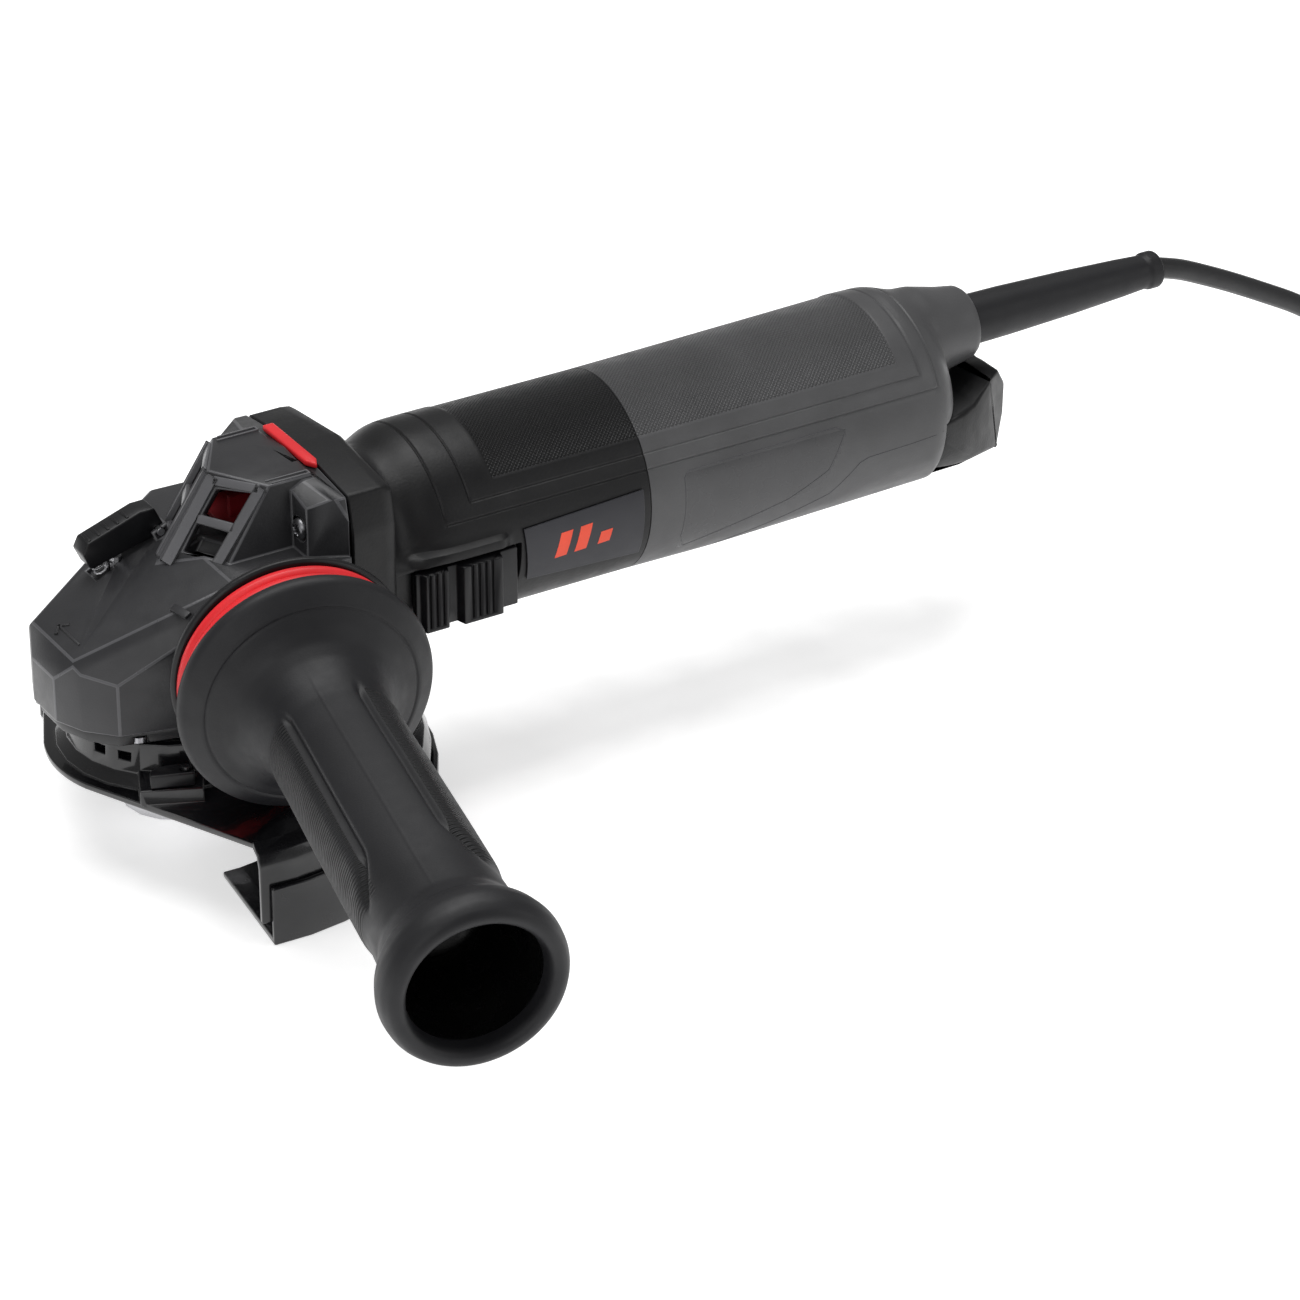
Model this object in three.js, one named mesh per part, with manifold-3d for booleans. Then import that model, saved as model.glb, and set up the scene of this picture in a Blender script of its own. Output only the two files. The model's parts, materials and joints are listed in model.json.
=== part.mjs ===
// Angle grinder, 125 mm class, in millimetres, Z up.
// The origin is the middle of the spindle's end face; parts are drawn from the motor axis.
// +X runs from the gear head to the cable, -Y points to the side handle.
import * as THREE from 'three';
import { mergeVertices } from 'three/addons/utils/BufferGeometryUtils.js';
import Module from 'manifold-3d';

const wasm = await Module();
wasm.setup();

// ---- driving dimensions ----
const gap = 0.3;
const wall = 3;
const ringFront = 42;
const ringRear = 56.5;
const seam = 141.6;
const rearRadius = 32;
const noseRear = 271;
const nose = { z: 15.2, radius: 11.6 };
const hoodBottom = -28;
const neckRadius = 27;
const neckBottom = -49.6;
const spindleTip = -71;
const plateTop = -46.5;
const plateThick = 2;
const guardRadius = 73.5;
const guardFront = 38;
const skirtBottom = -70;
const clipBottom = -76.5;
const handle = { x: 21.3, z: -0.6, dir: new THREE.Vector3(-0.177, -0.981, -0.08).normalize() };
const cordRadius = 3.3;
const ring = { x: 540.5, y: -49.5, inner: 26.2, outer: 53, lane: 49.5, height: 27 };

// ---- looks ----
const looks = {
  darkPaint: [0x3a3a3c, 0.42, 0.35],
  blackPlastic: [0x1b1b1c, 0.6, 0],
  greyPlastic: [0x6a6a6d, 0.62, 0],
  rubber: [0x232325, 0.75, 0],
  red: [0xc8262c, 0.5, 0],
  blackSteel: [0x151516, 0.35, 0.6],
  steel: [0xa9abad, 0.32, 0.95],
  darkSteel: [0x56585b, 0.4, 0.9],
  copper: [0xb0693c, 0.35, 0.9],
  carbon: [0x2a2a2b, 0.8, 0.1],
  board: [0x24513a, 0.5, 0.05],
  label: [0x2b2b2d, 0.4, 0.1],
};

// ---- solids ----
function solid(geometry) {
  const plain = geometry.clone();
  plain.deleteAttribute('normal');
  plain.deleteAttribute('uv');
  const merged = mergeVertices(plain, 1e-3);
  const triangles = [];
  for (let i = 0; i < merged.index.count; i += 3) {
    const [a, b, c] = [0, 1, 2].map((k) => merged.index.getX(i + k));
    if (a !== b && b !== c && c !== a) triangles.push(a, b, c);
  }
  return new wasm.Manifold(new wasm.Mesh({
    numProp: 3,
    vertProperties: Float32Array.from(merged.attributes.position.array),
    triVerts: Uint32Array.from(triangles),
  }));
}

const join = (first, ...others) => others.reduce((sum, next) => sum.add(next), first);
const cut = (first, ...others) => others.reduce((rest, next) => rest.subtract(next), first);

function block(x0, x1, y0, y1, z0, z1) {
  const box = new THREE.BoxGeometry(x1 - x0, y1 - y0, z1 - z0);
  return solid(box.translate((x0 + x1) / 2, (y0 + y1) / 2, (z0 + z1) / 2));
}

// A flat outline pushed along one axis. The outline is in the other two axes, in x, y, z order.
function prism(outline, axis, from, to) {
  const shape = new THREE.Shape(outline.map(([u, v]) => new THREE.Vector2(u, v)));
  const body = new THREE.ExtrudeGeometry(shape, { depth: to - from, bevelEnabled: false });
  body.translate(0, 0, from);
  const turn = new THREE.Matrix4();
  const X = new THREE.Vector3(1, 0, 0);
  const Y = new THREE.Vector3(0, 1, 0);
  const Z = new THREE.Vector3(0, 0, 1);
  if (axis === 'x') turn.makeBasis(Y, Z, X);
  if (axis === 'y') {
    body.translate(0, 0, -from - to);
    turn.makeBasis(X, Z, Y.clone().negate());
  }
  return solid(body.applyMatrix4(turn));
}

function stepsFor(radius) {
  if (radius < 3) return 8;
  if (radius < 7) return 12;
  if (radius < 17.5) return 16;
  return 24;
}

// A profile of [radius, height] points turned about an axis through a place.
function turned(profile, axis, [x, y, z] = [0, 0, 0], wanted = 0) {
  const widest = Math.max(...profile.map(([r]) => r));
  const steps = wanted || stepsFor(widest);
  const points = profile.map(([r, h]) => new THREE.Vector2(r, h));
  if (profile[0][0] > 0) points.push(points[0].clone());
  const body = new THREE.LatheGeometry(points, steps);
  const up = new THREE.Vector3(0, 1, 0);
  const along = typeof axis === 'string'
    ? new THREE.Vector3(Number(axis === 'x'), Number(axis === 'y'), Number(axis === 'z'))
    : axis;
  body.applyQuaternion(new THREE.Quaternion().setFromUnitVectors(up, along));
  const made = solid(body.translate(x, y, z));
  return made.volume() < 0 ? solid(flipped(body)) : made;
}

function flipped(geometry) {
  const copy = geometry.clone();
  const index = copy.index.array;
  for (let i = 0; i < index.length; i += 3) [index[i], index[i + 1]] = [index[i + 1], index[i]];
  return copy;
}

const disc = (radius, h0, h1) => [[0, h0], [radius, h0], [radius, h1], [0, h1]];
const tube = (inner, outer, h0, h1) => [[inner, h0], [outer, h0], [outer, h1], [inner, h1]];

// Everything on the outer side of a plane, as a large box to cut away.
function beyond([nx, ny, nz], [px, py, pz], size = 240) {
  const box = new THREE.BoxGeometry(size, size, size).translate(0, 0, size / 2);
  const normal = new THREE.Vector3(nx, ny, nz).normalize();
  box.applyQuaternion(new THREE.Quaternion().setFromUnitVectors(new THREE.Vector3(0, 0, 1), normal));
  return solid(box.translate(px, py, pz));
}

function arc(radius, from, to, steps, [cx, cy] = [0, 0]) {
  return Array.from({ length: steps + 1 }, (_, i) => {
    const angle = THREE.MathUtils.degToRad(from + ((to - from) * i) / steps);
    return [cx + radius * Math.cos(angle), cy + radius * Math.sin(angle)];
  });
}

const sector = (r0, r1, from, to, steps) => [
  ...arc(r1, from, to, steps),
  ...arc(r0, to, from, steps),
];

// A round outline with notches, for laminations and commutators.
function notched(radius, depth, count, share) {
  const points = [];
  for (let i = 0; i < count; i += 1) {
    const start = (360 * i) / count;
    const step = 360 / count;
    points.push(...arc(radius, start, start + step * (1 - share), 2));
    points.push(...arc(radius - depth, start + step * (1 - share), start + step, 1));
  }
  return points;
}

// ---- parts list ----
const grinder = new THREE.Group();
grinder.name = 'angle_grinder';

function add(name, made, [colour, roughness, metalness]) {
  const data = made.getMesh();
  const geometry = new THREE.BufferGeometry();
  geometry.setAttribute('position', new THREE.BufferAttribute(Float32Array.from(data.vertProperties), 3));
  geometry.setIndex(Array.from(data.triVerts));
  geometry.computeVertexNormals();
  const material = new THREE.MeshStandardMaterial({ color: colour, roughness, metalness });
  const mesh = new THREE.Mesh(geometry, material);
  mesh.name = name;
  grinder.add(mesh);
}

// ---- gear head ----
const headPlan = [
  [-40.5, -7], [-36.5, -16.5], [-29, -24.5], [8, -34], [30, -33], [ringFront, -32.5],
  [ringFront, 32.5], [30, 33], [8, 34], [-29, 24.5], [-36.5, 16.5], [-40.5, 7],
];
const slope = { normal: [-0.414, 0, 0.91], point: [11, 0, 15.4] };
const vent = { normal: [-0.74, -0.44, 0.51], point: [14, 0, 34] };
const flank = { normal: [0, -0.998, 0.04], point: [24, -17.4, 34] };
const shelf = 13.2;
const mirrorY = ([x, y, z]) => [x, -y, z];
const offset = (plane, by) => {
  const n = new THREE.Vector3(...plane.normal).normalize();
  const p = new THREE.Vector3(...plane.point).addScaledVector(n, -by);
  return [[n.x, n.y, n.z], [p.x, p.y, p.z]];
};
const bothSides = (plane, by = 0) => {
  const [n, p] = offset(plane, by);
  return [beyond(n, p), beyond(mirrorY(n), mirrorY(p))];
};
const ringOutline = [
  [0, 35], [-30, 31.2], [-32.5, 20], [-32.5, -14], [-24, -30],
  [24, -30], [32.5, -14], [32.5, 20], [30, 31.2],
];

// A hole through the vent face, from corners given along its top edge and down from its apex.
function ventHole(corners) {
  const top = new THREE.Vector3(10, -17, 0).normalize();
  const n = new THREE.Vector3(...vent.normal).normalize();
  const down = new THREE.Vector3().crossVectors(n, top).normalize();
  if (down.z > 0) down.negate();
  const place = new THREE.Matrix4().makeBasis(top, down, new THREE.Vector3().crossVectors(top, down));
  place.setPosition(...vent.point);
  return prism(corners, 'z', -7, 7).transform(place.elements);
}

const mirrored = (made) => made.mirror([0, 1, 0]);

const lever = { x: 2.6, z: 13.6, tilt: -24.5, y0: 10.5, y1: 17.5 };
const spring = { along: -19.3, bottom: -2.9, top: 0.5 };
const lockPin = { x: -9.8, y: 13.2, radius: 1.8 };

function gearHousing() {
  const wedge = cut(
    prism(headPlan, 'z', hoodBottom, 40),
    beyond(slope.normal, slope.point),
    beyond([-0.5, -0.62, 0.6], [-36, -14, -6.5]),
    beyond([-0.5, 0.62, 0.6], [-36, 14, -6.5]),
    beyond([-0.9, 0, 0.42], [-40, 0, -13]),
    block(0, 60, -60, 60, shelf, 60),
  );
  const tower = cut(
    block(-6, 38, -34, 34, 4, 34),
    ...bothSides(vent),
    ...bothSides(flank),
  );
  const lugTop = beyond([-0.45, -0.2, 0.87], [31, -21, 30]).intersect(block(30, 43, -60, -17.4, 20, 60));
  const flange = cut(
    prism(ringOutline, 'x', 31, ringFront),
    beyond([-0.32, 0, 0.95], [30, 0, 33.4]),
    beyond([-0.43, -0.9, 0], [31, -26.3, 0]),
    beyond([-0.43, 0.9, 0], [31, 26.3, 0]),
    lugTop,
    mirrored(lugTop),
  );
  const boss = turned(disc(13, 24, 47.5), handle.dir, [handle.x, 0, handle.z]);
  const spindleBoss = turned(disc(8.4, -2.5, 9), 'z');
  const outer = join(cut(join(wedge, tower), block(ringFront, 90, -60, 60, -60, 60)), flange, boss);
  const gearRoom = cut(
    turned(disc(27.9, hoodBottom - 1, shelf - wall), 'z'),
    beyond(slope.normal, offset(slope, wall)[1]),
  );
  const airRoom = cut(
    block(-4, 60, -14.5, 14.5, 14, 31),
    ...bothSides(vent, wall),
  );
  const rearRoom = cut(block(12, 60, -22, 22, -20, shelf - wall), beyond(slope.normal, offset(slope, wall)[1]));
  let body = cut(
    outer,
    cut(join(gearRoom, rearRoom), spindleBoss),
    airRoom,
    turned(disc(27.6, 32.6, ringFront + 1), 'x'),
    turned(disc(5.4 + gap, -4, 6.6), 'z'),
    turned(disc(3.7, 20, 60), handle.dir, [handle.x, 0, handle.z]),
  );
  const holes = [
    ventHole([[4, 4.5], [16.2, 3.1], [12.8, 12.6], [1.5, 12.6]]),
    ventHole([[0.6, 15.3], [11.7, 15.6], [9.1, 24], [-1.6, 24]]),
  ];
  holes.forEach((hole) => { body = cut(body, hole, mirrored(hole)); });
  // Spindle lock: pocket, spring seat, pin bore and two pivot lugs.
  const tilt = new THREE.Matrix4().makeRotationY(THREE.MathUtils.degToRad(lever.tilt));
  const placed = (geometry) => solid(geometry.applyMatrix4(tilt).translate(lever.x, 0, lever.z));
  const lug = (y) => placed(new THREE.BoxGeometry(5, 1.6, 6).translate(0, y, -1.6));
  const pocket = placed(new THREE.BoxGeometry(6.6, 6.6, 4).translate(spring.along, 14, -1.6));
  body = join(body, lug(9.1), lug(18.9));
  const pivotBore = turned(disc(1.25 + gap, 0, 40), 'y', [lever.x, 0, lever.z]);
  body = cut(body, pocket, pivotBore);
  body = cut(body, turned(disc(lockPin.radius + gap, -30, 30), 'z', [lockPin.x, lockPin.y, 0]));
  // Recesses for the four head screws and the roof insert.
  headScrewPlaces.forEach(([y, z]) => {
    body = cut(body, turned(disc(3.7, 20, 33), 'x', [0, y, z]));
    body = cut(body, turned(disc(2.3, 20, 60), 'x', [0, y, z]));
  });
  flangeScrewPlaces.forEach(([x, y]) => {
    body = cut(body, turned(disc(1.9, -29, -19.5), 'z', [x, y, 0]));
  });
  return cut(body, block(38.6, 60, -15.2, 15.2, 33.2, 50));
}

const headScrewPlaces = [[-22, 20.6], [22, 20.6], [-26, -19], [26, -19]];
const flangeScrewPlaces = [[-22, 21.6], [-22, -21.6], [20.5, 23.4], [20.5, -23.4]];

function headScrew(y, z) {
  const shank = turned(disc(1.8, 33.3, 52), 'x', [0, y, z]);
  const head = turned(disc(3.3, 29.9, 32.7), 'x', [0, y, z]);
  const socket = prism(arc(1.7, 0, 300, 5), 'x', 29, 31.4).translate([0, y, z]);
  return cut(join(head, shank, turned(disc(1.8, 32, 34), 'x', [0, y, z])), socket);
}

function bearingFlange() {
  const plan = [
    [-38.4, -6.6], [-35, -15.6], [-28.4, -23], [8, -32.2], [28, -31.4], [28, 31.4],
    [8, 32.2], [-28.4, 23], [-35, 15.6], [-38.4, 6.6],
  ];
  const plate = prism(plan, 'z', -32, hoodBottom - gap);
  const neck = turned(disc(neckRadius, neckBottom, -30), 'z');
  const spigot = turned(disc(27.4, -30, -24), 'z');
  let body = cut(
    join(plate, neck, spigot),
    turned(disc(24.6, -29, -20), 'z'),
    turned(disc(16 + gap, -43.4, -20), 'z'),
    turned(disc(10, -60, -40), 'z'),
  );
  flangeScrewPlaces.forEach(([x, y]) => {
    const countersink = turned(disc(3.4, -40, -29.8), 'z', [x, y, 0]);
    body = cut(body, turned(disc(1.9, -40, -20), 'z', [x, y, 0]), countersink);
  });
  return body;
}

function flangeScrew(x, y) {
  return turned([[0, -31.9], [3, -31.9], [3, -30.1], [1.5, -30.1], [1.5, -20.4], [0, -20.4]],
    'z', [x, y, 0]);
}

function redInsert() {
  const plan = [[39, -11], [41, -14.8], [42.6, -11.5], [42.6, 14.6], [39, 14.6]];
  return prism(plan, 'z', 33.5, 35.3);
}

function airBaffle() {
  const plate = block(16.4, 40.5, -14.1, 14.1, 16.4, 17.8);
  const fence = block(38.8, 40.5, -14.1, 14.1, 17, 22);
  const fin = block(20, 40, -0.8, 0.8, 17, 24);
  return join(plate, fence, fin);
}

function lockLever() {
  const side = [
    [-22.4, 2.2], [-22.4, 8], [-19.6, 10.2], [-2, 8.4], [2.2, 6.6],
    [2.2, -1.6], [0, -1.6], [-4, -1], [-20, 1.8],
  ];
  const body = prism(side, 'y', lever.y0, lever.y1);
  const bore = turned(disc(1.25 + gap, 0, 40), 'y', [0, 0, 0]);
  return cut(body, bore)
    .rotate([0, lever.tilt, 0])
    .translate([lever.x, 0, lever.z]);
}

// A place on the lock spring's axis, by its height over the pivot in the lever's own frame.
function springEnd(height) {
  const angle = THREE.MathUtils.degToRad(-lever.tilt);
  const [u, v] = [spring.along, height];
  return [
    lever.x + u * Math.cos(angle) - v * Math.sin(angle),
    (lever.y0 + lever.y1) / 2,
    lever.z + u * Math.sin(angle) + v * Math.cos(angle),
  ];
}

function coilSpring(from, to, radius, wire, turns) {
  const start = new THREE.Vector3(...from);
  const axis = new THREE.Vector3(...to).sub(start);
  const length = axis.length();
  axis.normalize();
  const side = new THREE.Vector3(0, 1, 0).cross(axis).normalize();
  const other = new THREE.Vector3().crossVectors(axis, side);
  const points = [];
  for (let i = 0; i <= turns * 9; i += 1) {
    const angle = (i / 9) * Math.PI * 2;
    const along = (length * i) / (turns * 9);
    points.push(start.clone().addScaledVector(axis, along)
      .addScaledVector(side, radius * Math.cos(angle))
      .addScaledVector(other, radius * Math.sin(angle)));
  }
  const path = new THREE.CatmullRomCurve3(points);
  const section = new THREE.Shape(arc(wire, 0, 288, 4).map(([u, v]) => new THREE.Vector2(u, v)));
  const settings = { steps: turns * 9, extrudePath: path, bevelEnabled: false };
  const body = new THREE.ExtrudeGeometry(section, settings);
  return solid(body);
}

function spindle() {
  return turned([
    [0, spindleTip], [5.8, spindleTip], [6.8, -69.6], [6.8, -52.4],
    [7.8, -52.4], [7.8, -44], [7.4, -44], [7.4, -32.4],
    [9, -32.4], [9, -30], [6.5, -30], [6.5, -5.6], [4, -4.6], [4, 5.2], [0, 5.2],
  ], 'z');
}

function crownGear() {
  const blank = turned([
    [6.8, -19], [13, -19], [24, -15.5], [27, -14], [27, -10.6], [20.6, -8.7], [20, -7.6], [6.8, -7.6],
  ], 'z');
  let gear = blank;
  for (let i = 0; i < 24; i += 1) {
    const tooth = prism([[20.4, -11], [26.8, -12.5], [26.8, -9.5], [20.8, -7.7]], 'y', -1.1, 1.1);
    gear = gear.add(tooth.rotate([0, 0, 15 * i]));
  }
  for (let i = 0; i < 6; i += 1) {
    const angle = Math.atan2(lockPin.y, lockPin.x) + (Math.PI * i) / 3;
    gear = gear.subtract(turned(disc(2.6, -14, 0), 'z', [16.5 * Math.cos(angle), 16.5 * Math.sin(angle), 0]));
  }
  return gear;
}

function pinion() {
  let gear = turned([[4.8, 19.6], [6.2, 19.6], [7.8, 28.8], [7.8, 30.4], [4.8, 30.4]], 'x');
  for (let i = 0; i < 8; i += 1) {
    const tooth = prism([[20.2, 5], [28.4, 6.6], [28.4, 8.9], [20.2, 7]], 'y', -0.9, 0.9);
    gear = gear.add(tooth.rotate([45 * i, 0, 0]));
  }
  return gear;
}

function ballBearing(inner, outer, h0, h1, axis) {
  const mid = (inner + outer) / 2;
  const groove = (outer - inner) * 0.14;
  return turned([
    [inner, h0], [outer, h0], [outer, h1], [mid + groove, h1], [mid + groove, h1 - 1],
    [mid - groove, h1 - 1], [mid - groove, h1], [inner, h1],
  ], axis, [0, 0, 0]);
}

function flangeNut() {
  const body = turned([[6.8 + gap, -66.8], [17, -66.8], [17, -63.4], [12, -61.4], [7.1, -61.4]], 'z');
  const holes = [[12.6, 0], [-12.6, 0]].map(([x, y]) => turned(disc(2.2, -70, -64.8), 'z', [x, y, 0]));
  return cut(body, ...holes);
}

function innerFlange() {
  const body = turned(tube(6.8 + gap, 20, -57.6, -53), 'z');
  return cut(body, block(-3, 3, 17.6, 30, -60, -40), block(-3, 3, -30, -17.6, -60, -40));
}

// ---- motor ----
function armatureShaft() {
  return turned([
    [0, 18.6], [4.5, 18.6], [4.5, 46], [5, 46], [5, 126.6], [4, 126.6], [4, 160.6], [0, 160.6],
  ], 'x');
}

function armatureCore() {
  return cut(prism(notched(16.6, 4.5, 12, 0.28), 'x', 66, 118), turned(disc(5.3, 60, 120), 'x'));
}

function armatureWinding() {
  const front = turned(tube(5.4, 14.6, 59.5, 65.7), 'x');
  const rear = turned(tube(5.4, 14.6, 118.3, 125.5), 'x');
  let all = join(front, rear);
  for (let i = 0; i < 12; i += 1) {
    const bar = block(65, 119, 12.8, 15.2, -0.7, 0.7);
    all = all.add(bar.rotate([(360 * (i + 0.86)) / 12, 0, 0]));
  }
  return all;
}

function commutator() {
  return cut(prism(notched(11.2, 0.8, 20, 0.25), 'x', 128, 142), turned(disc(4.3, 120, 150), 'x'));
}

function coolingFan() {
  let fan = join(
    turned(tube(5.3, 9, 47.5, 58.4), 'x'),
    turned(tube(8, 25.8, 56.6, 58.4), 'x'),
  );
  for (let i = 0; i < 14; i += 1) {
    fan = fan.add(block(48.4, 57.4, 8.6, 25.4, -0.7, 0.7).rotate([(360 * i) / 14, 0, 0]));
  }
  return fan;
}

function bearingPlate() {
  const plate = turned(disc(27, 43.6, 46.4), 'x');
  const hub = turned(disc(16, 33, 46.4), 'x');
  let body = cut(
    join(plate, hub),
    turned(disc(13.3, 34.6, 60), 'x'),
    turned(disc(8.4, 30, 60), 'x'),
  );
  for (let i = 0; i < 4; i += 1) {
    const window = prism(sector(18.5, 24.5, 20, 70, 4), 'x', 40, 50);
    body = body.subtract(window.rotate([90 * i, 0, 0]));
  }
  return body;
}

function statorCore() {
  let core = turned(tube(17.4, 25, 68, 116), 'x');
  [18, 142, 198, 322].forEach((from) => {
    core = core.subtract(prism(sector(18.6, 23.8, from, from + 20, 3), 'x', 60, 130));
  });
  return core;
}

function fieldCoil(turn) {
  const end = sector(19, 23.4, 19.5, 160.5, 12);
  const bar = sector(19, 23.4, 19.5, 36.5, 3);
  const otherBar = sector(19, 23.4, 143.5, 160.5, 3);
  return join(
    prism(end, 'x', 62, 67.2),
    prism(end, 'x', 116.8, 122),
    prism(bar, 'x', 66, 118),
    prism(otherBar, 'x', 66, 118),
  ).rotate([turn, 0, 0]);
}

function motorHousing() {
  const collar = prism(ringOutline, 'x', ringFront + gap, ringRear);
  const barrel = turned([
    [0, 50], [30.6, 50], [30.6, 58], [29.9, 66], [30.6, 84], [30.8, seam], [0, seam],
  ], 'x');
  const sleeve = turned([[0, 130], [27.3, 130], [27.3, 162], [0, 162]], 'x');
  const ledge = cut(
    prism([[60, 1.6], [94, 3.4], [98, 8], [60, 8]], 'y', -34, -22),
    beyond([0, -0.8, 0.6], [0, -34, 3.6]),
    beyond([-0.6, -0.8, 0], [65, -34, 0]),
    beyond([0.6, -0.8, 0], [90, -34, 0]),
  );
  let body = cut(
    join(collar, barrel, sleeve, ledge),
    turned([[0, 40], [27.4, 40], [27.4, 66], [25.4, 67], [25.4, 117], [26.5, 119], [26.5, 128], [24, 129],
      [24, 159], [0, 159]], 'x'),
    turned(disc(4.8, 150, 170), 'x'),
    block(57.5, 98, -40, -20, -19, 1.6),
    block(96, 170, -27.6, -22, -3.6, 1.6),
    block(38, ringFront + 4, -15.2, 15.2, 33.2, 50),
  );
  // Carrier of the rear bearing and brush windows.
  const cup = cut(
    turned(tube(9.8, 12.6, 150.4, 160), 'x'),
    block(140, 150.3, -20, 20, -20, 20),
  );
  body = join(body, cup);
  body = cut(body, block(128, 145, -6.3, 6.3, 20, 26), block(128, 145, -6.3, 6.3, -26, -20));
  headScrewPlaces.forEach(([y, z]) => {
    body = cut(body, turned(disc(2.3, 20, 54), 'x', [0, y, z]));
  });
  return cut(body, turned(disc(1.9, -40, -20), 'z', [153, 0, 0]));
}

function brushHolder(side) {
  const body = cut(block(130, 143, -5.8, 5.8, 13.4, 25.4), block(132, 141, -4.3, 4.3, 10, 24));
  return side > 0 ? body : body.mirror([0, 0, 1]);
}

function carbonBrush(side) {
  const body = block(132.5, 140.5, -3.9, 3.9, 11.6, 21.5);
  return side > 0 ? body : body.mirror([0, 0, 1]);
}

function labelPanel() {
  const shell = cut(
    turned(disc(31.4, 94, 139.5), 'x'),
    turned(disc(30.95, 90, 150), 'x'),
  );
  const window = prism([[98.6, 6.7], [139.3, 7.8], [139.3, -16.5], [100.6, -13]], 'y', -40, -10);
  return shell.intersect(window);
}

function switchSlider() {
  const pad = (x0, x1, y) => prism(
    [[x0, -28.6], [x0 + 1.5, y], [x1 - 1.5, y], [x1, -28.6]], 'z', -18, 0.6);
  const body = join(
    block(63, 96.5, -31, -28.6, -18, 0.6),
    pad(63.6, 74, -33.4),
    pad(75.6, 91.4, -34.2),
    block(74, 78, -29, -25.7, -2.8, 0.6),
  );
  let ribbed = body;
  [[66, 2.2, 3], [79.6, 2.2, 4]].forEach(([x, step, count]) => {
    for (let i = 0; i < count; i += 1) {
      const left = x + step * i;
      ribbed = ribbed.subtract(block(left, left + 0.7, -40, x < 70 ? -32.6 : -33.4, -16.6, 0.7));
    }
  });
  return ribbed;
}

function switchRod() {
  const bar = block(78.3, 171, -27, -25.7, -2.8, 0.6);
  const hook = block(169, 171, -27, -18, -2.8, 0.6);
  return join(bar, hook);
}

// ---- rear handle ----
function rearHousing() {
  const profile = [
    [0, seam + gap], [30.7, seam + gap], [31, 165], [31.6, 205],
    [rearRadius, 232], [31, 245], [24, 252], [0, 252],
  ];
  const belly = turned([[0, 120], [35.2, 142], [33.4, 246], [33, 300], [0, 300]], 'x', [0, 0, 4.3], 36);
  const outer = turned(profile, 'x', [0, 0, 0], 36).intersect(belly);
  const noseProfile = [
    [0, 225], [16.4, 225], [15, 254], [nose.radius + 0.8, 264], [nose.radius, noseRear], [0, noseRear],
  ];
  const noseBody = turned(noseProfile,
    'x', [0, 0, nose.z]);
  const skirt = turned([[0, 225], [29.4, 225], [28.4, 250], [24, 262], [0, 262]], 'x', [0, 0, -0.5]);
  const outerAll = cut(join(outer, noseBody, skirt), block(246, 300, -60, 60, -70, -0.7));
  const inner = turned([
    [0, 130], [27.7, 130], [27.7, 163], [27.4, 166], [26.6, 232], [25.6, 244], [20, 250], [0, 250],
  ], 'x');
  const boreProfile = [[0, 236], [10.3, 236], [10.3, 266], [8.3, 266], [8.3, 280], [0, 280]];
  const noseBore = turned(boreProfile, 'x', [0, 0, nose.z]);
  const rearCut = block(245.9, 300, -60, 60, -70, -0.7);
  const screwHole = turned(disc(3.4, -40, -28.9), 'z', [153, 0, 0]);
  const screwBore = turned(disc(1.9, -40, -20), 'z', [153, 0, 0]);
  return cut(outerAll, inner, noseBore, rearCut, screwHole, screwBore);
}

function tailCover() {
  const side = [[246.3, -1], [262, -1], [271, 3], [276.5, 3], [281.4, -4], [281, -14], [277.6, -23],
    [271, -27.4], [258, -29], [246.3, -29]];
  const plan = [[246.3, -28.5], [256, -25.5], [270, -17.5], [281.5, -9.5], [281.5, 9.5], [270, 17.5],
    [256, 25.5], [246.3, 28.5]];
  const outline = prism(side, 'y', -34, 34).intersect(prism(plan, 'z', -40, 10));
  const round = turned([[0, 240], [28.8, 240], [28.4, 262], [25.4, 282], [0, 282]], 'x', [0, 0, -0.4]);
  const inner = [[240, -4.4], [274, -4.4], [277.4, -8], [274, -20.6], [268, -24.2], [240, -25.6]];
  const innerPlan = [
    [240, -22], [254, -20], [268, -13.5], [278, -7], [278, 7], [268, 13.5], [254, 20], [240, 22],
  ];
  const hollow = prism(inner, 'y', -34, 34).intersect(prism(innerPlan, 'z', -40, 10));
  const bore = turned(disc(nose.radius + 1.4, 240, 300), 'x', [0, 0, nose.z]);
  return cut(outline.intersect(round), bore, hollow);
}

function cableClamp() {
  return cut(block(251, 255, -7, 7, 8.4, 20.4), block(250, 256, -3.6, 3.6, nose.z - 3.6, 30));
}

function rearScrew() {
  return turned([[0, -31], [3, -31], [3, -29.2], [1.5, -29.2], [1.5, -24.6], [0, -24.6]], 'z', [153, 0, 0]);
}

// ---- guard ----
const guardBend = 6;
const leverTurn = -24;
const leverPost = { x: 1.2, y: -37.6 };
const cutAngle = 201;
const edgeEnd = 261.4;

function guardOutline(rIn, rOut) {
  const front = arc(rIn, 360 - cutAngle, cutAngle, 10);
  const back = arc(rOut, edgeEnd, 720 - edgeEnd, 24);
  return [...front, ...back];
}

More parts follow.
